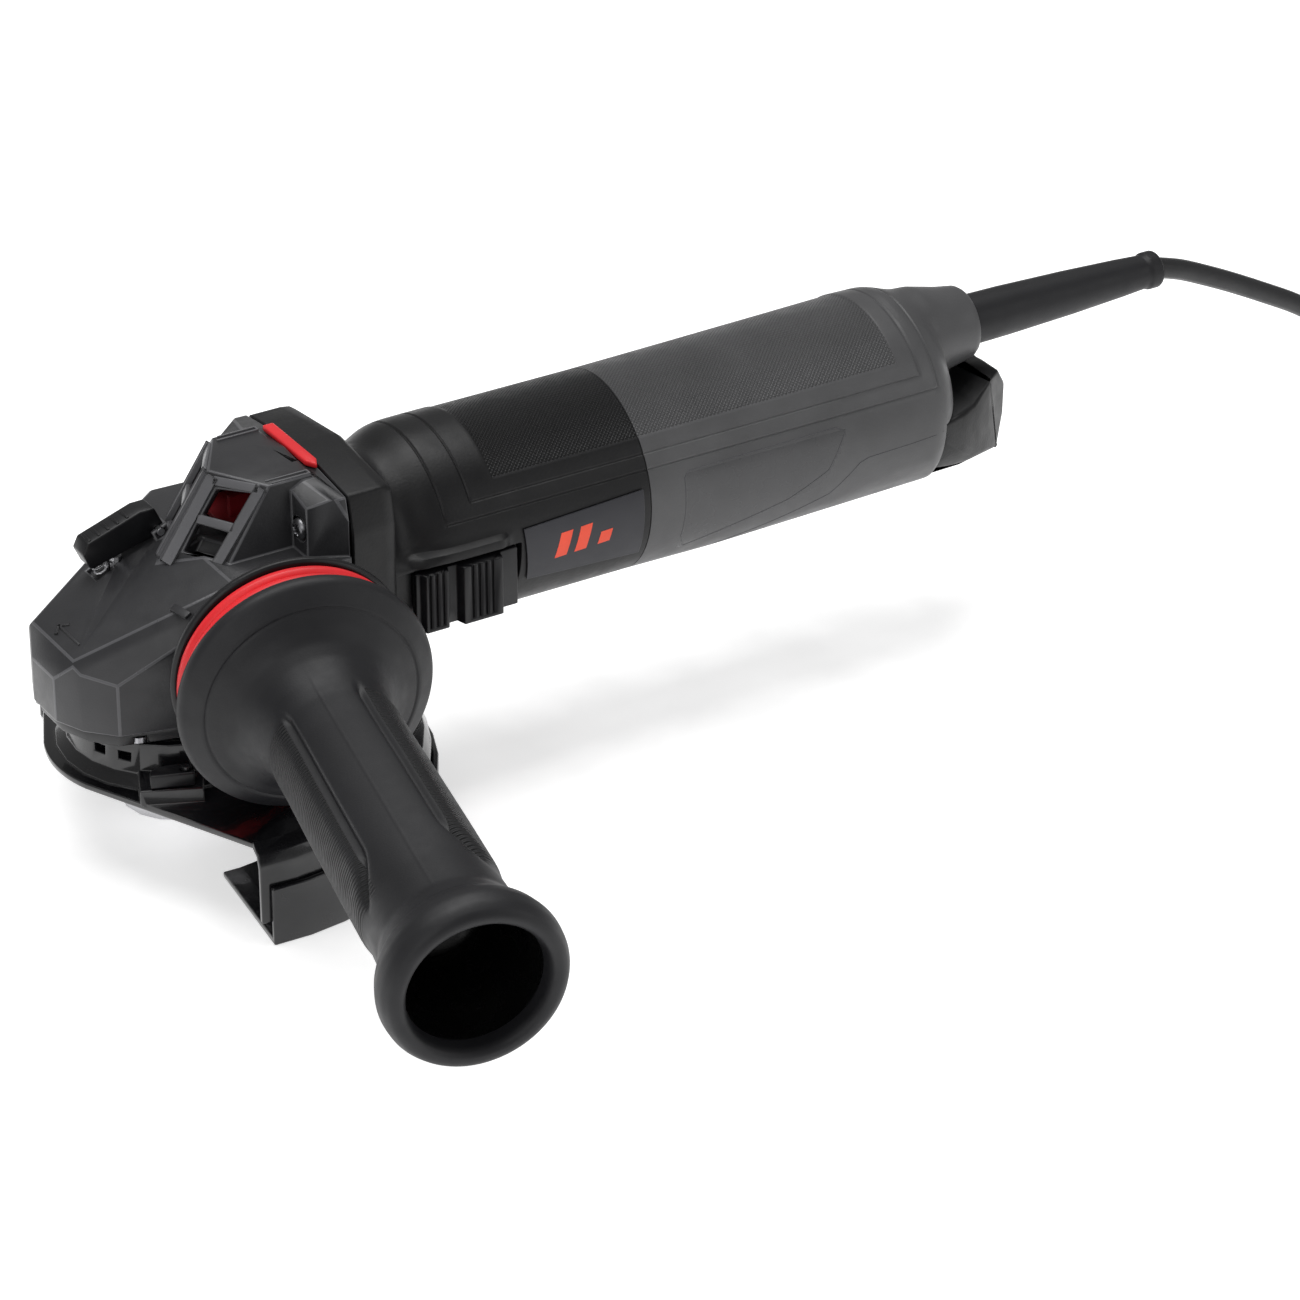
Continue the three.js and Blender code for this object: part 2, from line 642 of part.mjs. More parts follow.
function guard() {
  const b = guardBend;
  const plate = prism(guardOutline(guardFront, guardRadius - b), 'z', plateTop - plateThick, plateTop);
  const bent = turned([
    [guardRadius - b - 1, plateTop], [guardRadius - b, plateTop], [guardRadius - 0.3 * b, plateTop - 0.3 * b],
    [guardRadius, plateTop - b], [guardRadius, skirtBottom], [guardRadius - 2, skirtBottom],
    [guardRadius - 2, plateTop - b - 0.4], [guardRadius - 0.3 * b - 1.5, plateTop - 0.3 * b - 1.5],
    [guardRadius - b - 0.4, plateTop - 2], [guardRadius - b - 1, plateTop - 2],
  ], 'z', [0, 0, 0], 40);
  const kept = prism([[0, 0], ...arc(120, edgeEnd, 720 - edgeEnd, 24)], 'z', -90, 0);
  const skirtRing = bent.intersect(kept);
  const collar = turned([
    [27.4, plateTop - plateThick], [34.8, plateTop - plateThick],
    [34.8, plateTop + 0.8], [31.5, plateTop + 3],
    [31.2, -33.4], [27.4, -33.4],
  ], 'z');
  const ear = block(-12, 6, -41, -28.5, plateTop - 0.5, -42).rotate([0, 0, leverTurn]);
  const post = turned(disc(1.4, -43, -36.4), 'z', [leverPost.x, leverPost.y, 0]).rotate([0, 0, leverTurn]);
  let body = cut(join(plate, skirtRing, collar, ear, post), turned(disc(27.4, -60, -20), 'z'));
  [200, 216, 150, 120].forEach((angle) => {
    const hole = block(25, 40, -2, 2, -39.6, -37).rotate([0, 0, angle]);
    body = cut(body, hole);
  });
  return body;
}

function guardClip() {
  const from = edgeEnd + 2;
  const bandPlan = sector(guardRadius + gap, guardRadius + 2.1, from, 720 - from, 22);
  const band = prism(bandPlan, 'z', clipBottom, -58);
  const lip = prism(sector(35, guardRadius + 2.1, from, 720 - from, 22), 'z', clipBottom, clipBottom + 1.8);
  return join(band, lip);
}

function guardLever() {
  const plan = [[-9, -41], [3.6, -40.2], [3.6, -35], [-1, -34.4], [-7, -35.6], [-9, -38]];
  const body = prism(plan, 'z', -41.6, -37.4);
  const bore = turned(disc(1.4 + gap, -50, -20), 'z', [leverPost.x, leverPost.y, 0]);
  return cut(body, bore).rotate([0, 0, leverTurn]);
}

// ---- side handle, along its own axis from the middle of the head ----
const handleRoot = [handle.x, 0, handle.z];
const alongHandle = (profile) => turned(profile, handle.dir, handleRoot);

function handleGrip() {
  const outer = [
    [11.3, 61], [35.4, 61], [37, 62.4], [37.2, 65.6], [33.6, 69.6], [30.9, 70.8], [25, 73.4], [20.6, 79],
    [18.4, 88], [18.2, 100], [19.4, 124], [19.8, 150], [20.2, 176], [21.4, 191], [24.6, 197], [26.3, 202],
    [25.6, 206.4], [22.6, 209], [19.9, 208], [18, 202], [14.6, 193], [11.3, 190],
  ];
  return alongHandle(outer);
}

const handleCore = () => alongHandle([
  [4.4, 47.8], [11, 47.8], [11, 185], [0, 185], [0, 175], [4.4, 175],
].reverse());

const handleStud = () => alongHandle([
  [0, 26], [3.4, 26], [3.4, 47.9], [4, 47.9], [4, 120], [0, 120],
]);

const backDisc = () => alongHandle([[11.4, 47.9], [34.8, 49.4], [34.8, 51.4], [11.4, 51.4]]);

const damperRing = () => alongHandle([
  [11.4, 51.7], [32.8, 51.7], [33.9, 52.8], [33.9, 54.9], [32.6, 56], [34, 57], [34, 59.4], [33, 60.7],
  [11.4, 60.7],
]);

// ---- cable ----
// Its free stretch as [x, z] in the middle plane, from the boot down to the standing surface.
const cordFloor = clipBottom + cordRadius + 0.1;
const cordEnd = ring.x - 26.6;
const cordRoute = [
  [346, 14.8], [354, 12.2], [363, 8.2], [374, 2.9], [388, -4.4], [401, -11.6], [413, -20], [424, -30],
  [434, -41], [444, -51.6], [455, -60.6], [468, -67.6], [482, -71.6], [497, cordFloor], [cordEnd, cordFloor],
];

function boot() {
  return turned([
    [3.7, 256], [9.9, 256], [9.9, 265.6], [7.9, 265.6], [7.9, 286], [6.9, 310], [5.3, 339],
    [6, 340], [6, 344], [3.7, 344],
  ], 'x', [0, 0, nose.z]);
}

function cordTube() {
  const route = [[250, nose.z], [290, nose.z], [325, nose.z], ...cordRoute];
  const points = route.map(([x, z]) => new THREE.Vector3(x, 0, z));
  const path = new THREE.CatmullRomCurve3(points, false, 'centripetal');
  const section = new THREE.Shape(arc(cordRadius, 0, 315, 7).map(([u, v]) => new THREE.Vector2(u, v)));
  return solid(new THREE.ExtrudeGeometry(section, { steps: 38, extrudePath: path, bevelEnabled: false }));
}

function cordCoil() {
  const r = cordRadius;
  const section = [
    [ring.inner + r, 0], [ring.outer - r, 0], [ring.outer, r], [ring.outer, ring.height - r],
    [ring.outer - r, ring.height], [ring.inner + r, ring.height],
    [ring.inner, ring.height - r], [ring.inner, r],
  ];
  return turned(section, 'z', [ring.x, ring.y, clipBottom + 0.1]);
}

function plug() {
  const place = [ring.x + 62, ring.y + ring.lane, clipBottom + 18.6];
  const body = turned([
    [0, -30], [5, -30], [6, -6], [12, 0], [18.5, 6], [18.5, 24], [17.2, 25.5], [17.2, 36], [0, 36],
  ], 'x', place);
  const pins = [-9.5, 9.5].map((y) => turned(disc(2.4, 30, 55), 'x', [place[0], place[1] + y, place[2]]));
  return join(body, ...pins);
}

// ---- assembly ----
add('gear_housing', gearHousing(), looks.darkPaint);
add('bearing_flange', bearingFlange(), looks.blackSteel);
flangeScrewPlaces.forEach(([x, y], i) => add(`flange_screw_${i + 1}`, flangeScrew(x, y), looks.darkSteel));
headScrewPlaces.forEach(([y, z], i) => add(`head_screw_${i + 1}`, headScrew(y, z), looks.darkSteel));
add('roof_insert', redInsert(), looks.red);
add('air_baffle', airBaffle(), looks.red);
add('lock_lever', lockLever(), looks.blackPlastic);
add('lock_pivot', turned(disc(1.25, 8.4, 19.6), 'y', [lever.x, 0, lever.z]), looks.steel);
add('lock_spring', coilSpring(springEnd(spring.bottom), springEnd(spring.top), 2.1, 0.35, 2), looks.steel);
add('lock_pin', turned(disc(lockPin.radius, -6.9, 7.4), 'z', [lockPin.x, lockPin.y, 0]), looks.steel);
add('spindle', spindle(), looks.steel);
add('crown_gear', crownGear(), looks.darkSteel);
add('spindle_ball_bearing', ballBearing(7.7, 16, -43, -33, 'z'), looks.steel);
add('spindle_bush', turned(tube(4.3, 5.4, -2.2, 6), 'z'), looks.copper);
add('inner_flange', innerFlange(), looks.steel);
add('flange_nut', flangeNut(), looks.steel);
add('pinion', pinion(), looks.darkSteel);
add('armature_shaft', armatureShaft(), looks.steel);
add('armature_core', armatureCore(), looks.darkSteel);
add('armature_winding', armatureWinding(), looks.copper);
add('commutator', commutator(), looks.copper);
add('cooling_fan', coolingFan(), looks.blackPlastic);
add('front_bearing', ballBearing(4.8, 13, 35, 44, 'x'), looks.steel);
add('rear_bearing', ballBearing(4.3, 9.5, 151, 158, 'x'), looks.steel);
add('bearing_plate', bearingPlate(), looks.darkPaint);
add('stator_core', statorCore(), looks.darkSteel);
add('field_coil_1', fieldCoil(0), looks.copper);
add('field_coil_2', fieldCoil(180), looks.copper);
add('brush_holder_1', brushHolder(1), looks.blackPlastic);
add('brush_holder_2', brushHolder(-1), looks.blackPlastic);
add('carbon_brush_1', carbonBrush(1), looks.carbon);
add('carbon_brush_2', carbonBrush(-1), looks.carbon);
add('motor_housing', motorHousing(), looks.blackPlastic);
add('label_panel', labelPanel(), looks.label);
add('switch_slider', switchSlider(), looks.blackPlastic);
add('switch_rod', switchRod(), looks.blackPlastic);
add('switch_body', block(172, 198, -24, -9, -9, 9), looks.blackPlastic);
add('electronics_module', block(170, 214, 2, 22, -12, 10), looks.board);
add('cable_clamp', cableClamp(), looks.blackPlastic);
add('rear_housing', rearHousing(), looks.greyPlastic);
add('rear_screw', rearScrew(), looks.darkSteel);
add('tail_cover', tailCover(), looks.blackPlastic);
add('guard', guard(), looks.blackSteel);
add('guard_clip', guardClip(), looks.blackSteel);
add('guard_lever', guardLever(), looks.blackPlastic);
add('handle_stud', handleStud(), looks.steel);
add('handle_core', handleCore(), looks.blackPlastic);
add('back_disc', backDisc(), looks.blackPlastic);
add('damper_ring', damperRing(), looks.red);
add('handle_grip', handleGrip(), looks.rubber);
add('cable_boot', boot(), looks.rubber);
add('cord_tube', cordTube(), looks.rubber);
add('cord_coil', cordCoil(), looks.rubber);
add('plug', plug(), looks.rubber);

grinder.position.z = -spindleTip;

export default grinder;
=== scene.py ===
import json
import math

import bmesh
import bpy
from mathutils import Matrix, Vector

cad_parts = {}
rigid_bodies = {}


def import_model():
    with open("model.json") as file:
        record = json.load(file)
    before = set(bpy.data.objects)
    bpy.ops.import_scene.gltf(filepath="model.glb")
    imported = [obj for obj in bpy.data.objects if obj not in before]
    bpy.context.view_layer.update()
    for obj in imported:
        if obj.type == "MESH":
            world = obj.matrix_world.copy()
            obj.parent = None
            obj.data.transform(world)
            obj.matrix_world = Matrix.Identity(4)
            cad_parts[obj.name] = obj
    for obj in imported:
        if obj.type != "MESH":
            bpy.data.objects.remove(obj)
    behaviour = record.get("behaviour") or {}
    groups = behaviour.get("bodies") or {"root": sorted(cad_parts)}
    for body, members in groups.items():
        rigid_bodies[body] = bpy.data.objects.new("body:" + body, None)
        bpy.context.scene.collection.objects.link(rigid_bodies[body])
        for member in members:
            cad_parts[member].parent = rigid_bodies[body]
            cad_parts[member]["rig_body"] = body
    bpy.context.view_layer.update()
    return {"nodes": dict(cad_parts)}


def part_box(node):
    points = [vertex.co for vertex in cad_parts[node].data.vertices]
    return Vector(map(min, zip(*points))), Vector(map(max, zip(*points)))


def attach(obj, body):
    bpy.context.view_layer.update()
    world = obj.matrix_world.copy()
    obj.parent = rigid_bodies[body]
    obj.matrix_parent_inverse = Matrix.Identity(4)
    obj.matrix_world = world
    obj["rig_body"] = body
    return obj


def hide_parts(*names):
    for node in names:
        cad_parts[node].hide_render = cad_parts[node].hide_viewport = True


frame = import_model()
nodes = frame["nodes"]
scene = bpy.context.scene

# Pieces are drawn in millimetres from the motor axis, as the CAD is, and placed in metres.
mm = 0.001
lift = 71
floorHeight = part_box("guard_clip")[0].z
renderLevels = 2


def at(x, y, z):
    return Vector((x, y, z + lift)) * mm


def smooth(t):
    t = min(1.0, max(0.0, t))
    return t * t * (3 - 2 * t)


view = {
    "place": (-593.4, -1235.1, 748.8),
    "back": (-0.4536, -0.7436, 0.4912),  # from the object towards the camera
    "lens": 151.8,
    "sensor": 36,
}


def addCamera():
    back = Vector(view["back"]).normalized()
    right = Vector((0, 0, 1)).cross(back).normalized()
    data = bpy.data.cameras.new("camera")
    data.lens = view["lens"]
    data.sensor_width = view["sensor"]
    data.clip_end = 20
    camera = bpy.data.objects.new("camera", data)
    turn = Matrix((right, back.cross(right), back)).transposed().to_4x4()
    camera.matrix_world = Matrix.Translation(at(*view["place"])) @ turn
    scene.collection.objects.link(camera)
    scene.camera = camera


addCamera()
print("camera done")


def link(tree, source, target):
    tree.links.new(source, target)


def mathNode(tree, operation, first, second=None):
    node = tree.nodes.new("ShaderNodeMath")
    node.operation = operation
    for socket, value in zip(node.inputs, (first, second)):
        if value is None:
            continue
        if isinstance(value, (int, float)):
            socket.default_value = value
        else:
            link(tree, value, socket)
    return node.outputs[0]


def noiseNode(tree, place, scale, detail=2.0):
    node = tree.nodes.new("ShaderNodeTexNoise")
    node.inputs["Scale"].default_value = scale
    node.inputs["Detail"].default_value = detail
    link(tree, place, node.inputs["Vector"])
    return node.outputs["Fac"]


def mapped(tree, value, low, high):
    node = tree.nodes.new("ShaderNodeMapRange")
    node.inputs["From Min"].default_value = 0.3
    node.inputs["From Max"].default_value = 0.7
    node.inputs["To Min"].default_value = low
    node.inputs["To Max"].default_value = high
    link(tree, value, node.inputs["Value"])
    return node.outputs["Result"]


def bumped(tree, height, strength, depth, normal=None):
    node = tree.nodes.new("ShaderNodeBump")
    node.inputs["Strength"].default_value = strength
    node.inputs["Distance"].default_value = depth
    link(tree, height, node.inputs["Height"])
    if normal:
        link(tree, normal, node.inputs["Normal"])
    return node.outputs["Normal"]


knurl = {"pitch": 1.3, "radius": 31}


# Small diamonds wound around the motor axis.
def diamondHeight(tree, place):
    split = tree.nodes.new("ShaderNodeSeparateXYZ")
    link(tree, place, split.inputs[0])
    height = mathNode(tree, "SUBTRACT", split.outputs["Z"], lift * mm)
    angle = mathNode(tree, "ARCTAN2", height, split.outputs["Y"])
    around = mathNode(tree, "MULTIPLY", angle, knurl["radius"] * mm)
    waves = []
    for operation in ("ADD", "SUBTRACT"):
        line = mathNode(tree, operation, split.outputs["X"], around)
        turns = mathNode(tree, "MULTIPLY", line, math.pi / (knurl["pitch"] * mm))
        waves.append(mathNode(tree, "ABSOLUTE", mathNode(tree, "SINE", turns)))
    return mathNode(tree, "MINIMUM", *waves)


# Fine ribs square to a direction, as a pattern for makeMaterial.
def ribs(along, pitch):
    def height(tree, place):
        dot = tree.nodes.new("ShaderNodeVectorMath")
        dot.operation = "DOT_PRODUCT"
        dot.inputs[1].default_value = along
        link(tree, place, dot.inputs[0])
        turns = mathNode(tree, "MULTIPLY", dot.outputs["Value"], 2 * math.pi / (pitch * mm))
        return mathNode(tree, "MULTIPLY_ADD", mathNode(tree, "SINE", turns), 0.5)

    return height


# Grain, edge and pattern depth are in millimetres of relief. The edge highlight amount paints the outer
# edges lighter, as a painted highlight.
def makeMaterial(name, colour, roughness, metallic=0.0, grain=2200, grainDepth=0.25, edgeHighlight=0.0,
                 coat=0.0, edge=0.35, pattern=None, patternDepth=0.5, specular=0.4):
    material = bpy.data.materials.new(name)
    material.use_nodes = True
    tree = material.node_tree
    shader = tree.nodes["Principled BSDF"]
    place = tree.nodes.new("ShaderNodeTexCoord").outputs["Object"]
    broad = noiseNode(tree, place, 45, 4)
    fine = noiseNode(tree, place, grain, 2)
    tint = tree.nodes.new("ShaderNodeMix")
    tint.data_type = "RGBA"
    tint.inputs["A"].default_value = (*[c * 0.86 for c in colour], 1)
    tint.inputs["B"].default_value = (*[min(1, c * 1.14) for c in colour], 1)
    link(tree, mapped(tree, broad, 0, 1), tint.inputs["Factor"])
    shade = tint.outputs["Result"]
    # Painted highlight: faces at pointed outer edges are mixed towards a much lighter colour.
    if edgeHighlight:
        highlighted = tree.nodes.new("ShaderNodeMix")
        highlighted.data_type = "RGBA"
        highlighted.inputs["B"].default_value = (*[min(1, c * 2.2 + 0.05) for c in colour], 1)
        point = tree.nodes.new("ShaderNodeNewGeometry").outputs["Pointiness"]
        highlightMask = tree.nodes.new("ShaderNodeMapRange")
        highlightMask.inputs["From Min"].default_value = 0.52
        highlightMask.inputs["From Max"].default_value = 0.6
        highlightMask.inputs["To Max"].default_value = edgeHighlight
        link(tree, point, highlightMask.inputs["Value"])
        link(tree, highlightMask.outputs["Result"], highlighted.inputs["Factor"])
        link(tree, shade, highlighted.inputs["A"])
        shade = highlighted.outputs["Result"]
    link(tree, shade, shader.inputs["Base Color"])
    smudge = noiseNode(tree, place, 160, 3)
    link(tree, mapped(tree, smudge, roughness - 0.05, roughness + 0.06), shader.inputs["Roughness"])
    shader.inputs["Metallic"].default_value = metallic
    shader.inputs["Coat Weight"].default_value = coat
    shader.inputs["Specular IOR Level"].default_value = specular
    normal = None
    if edge:
        softened = tree.nodes.new("ShaderNodeBevel")
        softened.samples = 4
        softened.inputs["Radius"].default_value = edge * mm
        normal = softened.outputs["Normal"]
    if pattern:
        normal = bumped(tree, pattern(tree, place), 1.0, patternDepth * mm, normal)
    normal = bumped(tree, fine, grainDepth, 0.1 * mm, normal)
    link(tree, normal, shader.inputs["Normal"])
    return material


handleAxis = Vector((-0.177, -0.981, -0.08)).normalized()

looks = {
    "headPaint": makeMaterial("head_paint", (0.023, 0.023, 0.025), 0.36, grain=1500, grainDepth=0.3),
    # Lighter copy of the head paint for the rounded edges: a painted highlight.
    "headEdgeHighlight": makeMaterial("head_edge_highlight", (0.075, 0.075, 0.08), 0.3, grain=1500, edge=0),
    # Head paint several times lighter for the raised vent bars and roof ridges: a painted highlight on them.
    "headBarHighlight": makeMaterial("head_bar_highlight", (0.11, 0.11, 0.116), 0.32, grain=1500, grainDepth=0.3),
    "blackShell": makeMaterial("black_shell", (0.0035, 0.0035, 0.004), 0.42, grain=1100, grainDepth=0.5,
                               specular=0.28),
    "blackKnurl": makeMaterial("black_knurl", (0.003, 0.003, 0.0035), 0.42, edge=0, specular=0.28,
                               pattern=diamondHeight, patternDepth=0.3),
    "greyShell": makeMaterial("grey_shell", (0.062, 0.062, 0.064), 0.43, grain=1300, grainDepth=0.4),
    "greyKnurl": makeMaterial("grey_knurl", (0.058, 0.058, 0.06), 0.45, edge=0, pattern=diamondHeight,
                              patternDepth=0.3),
    "darkParts": makeMaterial("dark_parts", (0.005, 0.005, 0.006), 0.36, grain=1600, grainDepth=0.2,
                              specular=0.32),
    "rubber": makeMaterial("soft_rubber", (0.007, 0.007, 0.0085), 0.5, grain=1700, grainDepth=0.3,
                           specular=0.35),
    "ribbedRubber": makeMaterial("ribbed_rubber", (0.007, 0.007, 0.008), 0.52, edge=0, specular=0.35,
                                 pattern=ribs(handleAxis, 1.3), patternDepth=0.45),
    # Near-black rubber for inside the end cup: painted shade in the deep recess.
    "cupShadeRubber": makeMaterial("cup_rubber_painted_shade", (0.002, 0.002, 0.002), 0.25, grain=1700, grainDepth=0.1),
    "red": makeMaterial("red_trim", (0.68, 0.016, 0.022), 0.4, grain=1500, grainDepth=0.15),
    "shadedRed": makeMaterial("baffle_red", (0.16, 0.006, 0.009), 0.45, grain=1500, grainDepth=0.15),
    "guardPaint": makeMaterial("guard_paint", (0.005, 0.005, 0.006), 0.22, grain=900, grainDepth=0.06,
                               coat=0.4),
    # Cast flange with a painted highlight on its outer edges.
    "castFlange": makeMaterial("cast_flange", (0.016, 0.016, 0.017), 0.34, grain=1200, grainDepth=0.3,
                               edgeHighlight=0.2),
    "steel": makeMaterial("turned_steel", (0.58, 0.58, 0.6), 0.28, 1.0, grain=2500, grainDepth=0.1,
                          edge=0.25),
    # Dark steel with a painted highlight on its outer edges.
    "darkSteel": makeMaterial("dark_steel", (0.2, 0.2, 0.21), 0.33, 1.0, grain=2500, grainDepth=0.15,
                              edgeHighlight=0.5),
    "laminations": makeMaterial("laminations", (0.25, 0.25, 0.26), 0.4, 0.9, grain=900, edge=0.1,
                                pattern=ribs((1, 0, 0), 0.5), patternDepth=0.1),
    "castPlate": makeMaterial("cast_plate", (0.5, 0.5, 0.51), 0.45, 0.9, grain=1200),
    "bronze": makeMaterial("bronze", (0.5, 0.33, 0.16), 0.42, 1.0),
    "copper": makeMaterial("copper_wire", (0.62, 0.28, 0.13), 0.3, 0.9, edge=0,
                           pattern=ribs((0.6, 0.8, 0), 0.6), patternDepth=0.2),
    "carbon": makeMaterial("carbon", (0.05, 0.05, 0.05), 0.7, grain=3000),
    "board": makeMaterial("circuit_board", (0.03, 0.12, 0.06), 0.4, grain=600),
    "label": makeMaterial("label_film", (0.009, 0.009, 0.014), 0.36, grain=900, grainDepth=0.05),
    "mark": makeMaterial("label_mark", (0.75, 0.06, 0.02), 0.4, grain=900, grainDepth=0.05, edge=0),
    "greyFilm": makeMaterial("grey_film", (0.05, 0.05, 0.052), 0.26, grain=900, grainDepth=0.08, edge=0),
    "greySeam": makeMaterial("grey_panel_seam", (0.05, 0.05, 0.054), 0.5, edge=0),
    "cable": makeMaterial("cable_jacket", (0.012, 0.012, 0.013), 0.45, grain=1400, grainDepth=0.35, edge=0),
    "brass": makeMaterial("plug_pins", (0.6, 0.55, 0.42), 0.25, 1.0),
}

# Which pieces of the model wear which finish. Screws are dark steel and all others turned steel.
lookNodes = {
    "headPaint": ["gear_housing"],
    "castFlange": ["bearing_flange"],
    "castPlate": ["bearing_plate"],
    "red": ["roof_insert", "damper_ring"],
    "shadedRed": ["air_baffle"],
    "darkParts": ["lock_lever", "cooling_fan", "brush_holder_1", "brush_holder_2", "switch_slider",
                  "switch_rod", "switch_body", "cable_clamp", "guard_lever", "handle_core", "back_disc"],
    "darkSteel": ["crown_gear", "pinion", "rear_screw"],
    "bronze": ["spindle_bush"],
    "laminations": ["armature_core", "stator_core"],
    "copper": ["armature_winding", "commutator", "field_coil_1", "field_coil_2"],
    "carbon": ["carbon_brush_1", "carbon_brush_2"],
    "board": ["electronics_module"],
    "blackShell": ["motor_housing", "tail_cover"],
    "greyShell": ["rear_housing"],
    "label": ["label_panel"],
    "guardPaint": ["guard", "guard_clip"],
    "rubber": ["handle_grip", "cable_boot", "plug"],
    "cable": ["cord_tube", "cord_coil"],
}


def dressNodes():
    nodeLooks = {name: look for look, names in lookNodes.items() for name in names}
    for name, node in nodes.items():
        screw = name.startswith(("head_screw", "flange_screw"))
        look = looks[nodeLooks.get(name, "darkSteel" if screw else "steel")]
        node.data.materials.clear()
        node.data.materials.append(look)


dressNodes()
print("materials done")


def showPiece(name, bm, materials, body, replaced=(), sharp=32):
    bmesh.ops.recalc_face_normals(bm, faces=bm.faces)
    mesh = bpy.data.meshes.new(name)
    bm.to_mesh(mesh)
    bm.free()
    for material in materials:
        mesh.materials.append(looks[material])
    mesh.shade_smooth()
    mesh.set_sharp_from_angle(angle=math.radians(sharp))
    piece = bpy.data.objects.new(name, mesh)
    scene.collection.objects.link(piece)
    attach(piece, body)
    if replaced:
        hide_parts(*replaced)
    return piece


# The same outline with each corner turned by a small curve.
def rounded(profile, radius=0.5, cuts=3):
    points = [Vector(p) for p in profile]
    made = [points[0]]
    for before, corner, after in zip(points, points[1:], points[2:]):
        reach = min(radius, (before - corner).length * 0.45, (after - corner).length * 0.45)
        start = corner + (before - corner).normalized() * reach
        end = corner + (after - corner).normalized() * reach
        for i in range(cuts + 1):
            t = i / cuts
            made.append(start.lerp(corner, t).lerp(corner.lerp(end, t), t))
    made.append(points[-1])
    return made


# An axis with two directions square to it.
def axisFrame(origin, along):
    along = Vector(along).normalized()
    side = along.cross(Vector((0, 0, 1)))
    side = side.normalized() if side.length > 1e-6 else Vector((1, 0, 0))
    return Vector(origin), along, side, side.cross(along)


# A surface of revolution. radiusAt(radius, height, degrees) may move each point in or out.
def turnedMesh(profile, axis, steps=96, radiusAt=None, closed=False, bm=None):
    origin, along, side, up = axis
    bm = bm or bmesh.new()
    rows = []
    for radius, height in profile:
        row = []
        for i in range(steps):
            angle = 2 * math.pi * i / steps
            reach = radiusAt(radius, height, math.degrees(angle)) if radiusAt else radius
            spot = origin + along * height + (side * math.cos(angle) + up * math.sin(angle)) * reach
            row.append(bm.verts.new(at(*spot)))
        rows.append(row)
    pairs = list(zip(rows, rows[1:]))
    if closed:
        pairs.append((rows[-1], rows[0]))
    for first, second in pairs:
        for i in range(steps):
            j = (i + 1) % steps
            bm.faces.new((first[i], first[j], second[j], second[i]))
    if not closed:
        bm.faces.new(rows[0])
        bm.faces.new(list(reversed(rows[-1])))
    return bm


# A piece of the model again, with its longer edges rounded over and, if wanted, in a finish of their own,
# which paints a lighter highlight along them.
def easedCopy(name, node, material, width=0.45, angle=28, shortest=1.6, highlightLook=None):
    bm = bmesh.new()
    bm.from_mesh(nodes[node].data)
    bmesh.ops.remove_doubles(bm, verts=bm.verts, dist=0.004 * mm)
    bmesh.ops.dissolve_limit(bm, angle_limit=math.radians(0.6), verts=bm.verts, edges=bm.edges)
    chosen = [
        edge for edge in bm.edges
        if len(edge.link_faces) == 2 and edge.calc_length() > shortest * mm
        and edge.calc_face_angle(0) > math.radians(angle)
    ]
    eased = bmesh.ops.bevel(bm, geom=chosen, offset=width * mm, segments=renderLevels, profile=0.5,
                            affect="EDGES", clamp_overlap=False)
    for face in bm.faces:
        face.material_index = 0
    for face in eased["faces"]:
        face.material_index = int(bool(highlightLook))
    materials = [material, highlightLook] if highlightLook else [material]
    return showPiece(name, bm, materials, nodes[node]["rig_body"], [node], sharp=40)


# A bar with eased edges lying on a surface, from start to end, all in millimetres.
def boxAlong(bm, start, end, width, height, normal, edge=0.35):
    start, end = Vector(start), Vector(end)
    along = (end - start).normalized()
    normal = Vector(normal).normalized()
    across = normal.cross(along).normalized()
    made = bmesh.ops.create_cube(bm, size=1)["verts"]
    middle = (start + end) / 2 + normal * height * 0.5
    length = (end - start).length
    for vert in made:
        spot = middle + along * vert.co.x * length
        spot += across * vert.co.y * width + normal * vert.co.z * height
        vert.co = at(*spot)
    edges = list(dict.fromkeys(barEdge for vert in made for barEdge in vert.link_edges))
    bmesh.ops.bevel(bm, geom=edges, offset=edge * mm, segments=2, profile=0.5, affect="EDGES",
                    clamp_overlap=True)


# A thin round line along points in metres.
def wire(name, points, radius, material, body):
    data = bpy.data.curves.new(name, "CURVE")
    data.dimensions = "3D"
    data.bevel_depth = radius * mm
    data.bevel_resolution = 3
    data.use_fill_caps = True
    spline = data.splines.new("POLY")
    spline.points.add(len(points) - 1)
    for target, point in zip(spline.points, points):
        target.co = (*point, 1)
    data.materials.append(looks[material])
    line = bpy.data.objects.new(name, data)
    scene.collection.objects.link(line)
    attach(line, body)
    return line


cable = {
    "diameter": 6.6,
    "exit": (344, 15.2),
    "route": [  # down from the boot to the surface, as (x, z)
        (346, 14.8), (354, 12.2), (363, 8.2), (374, 2.9), (388, -4.4), (401, -11.6), (413, -20), (424, -30),
        (434, -41), (444, -51.6), (455, -60.6), (468, -67.6), (482, -71.6), (497, -73.1), (513.9, -73.1),
    ],
    "surface": -76.4,
    "ringMiddle": (540.5, -49.5),
    "outerLane": 49.5,
    "lanes": 4,
    "layers": 4,
    "turns": 14,
    "plugTail": (572.2, 0, -57.9),  # where the cable enters the plug
}


# Points on a smooth curve through the given ones.
def curved(points, steps):
    ends = [points[0] * 2 - points[1], *points, points[-1] * 2 - points[-2]]
    made = []
    for a, b, c, d in zip(ends, ends[1:], ends[2:], ends[3:]):
        for i in range(steps):
            t = i / steps
            made.append(0.5 * (b * 2 + (c - a) * t + (a * 2 - b * 5 + c * 4 - d) * t * t
                               + (b * 3 - a - c * 3 + d) * t * t * t))
    made.append(points[-1])
    return made


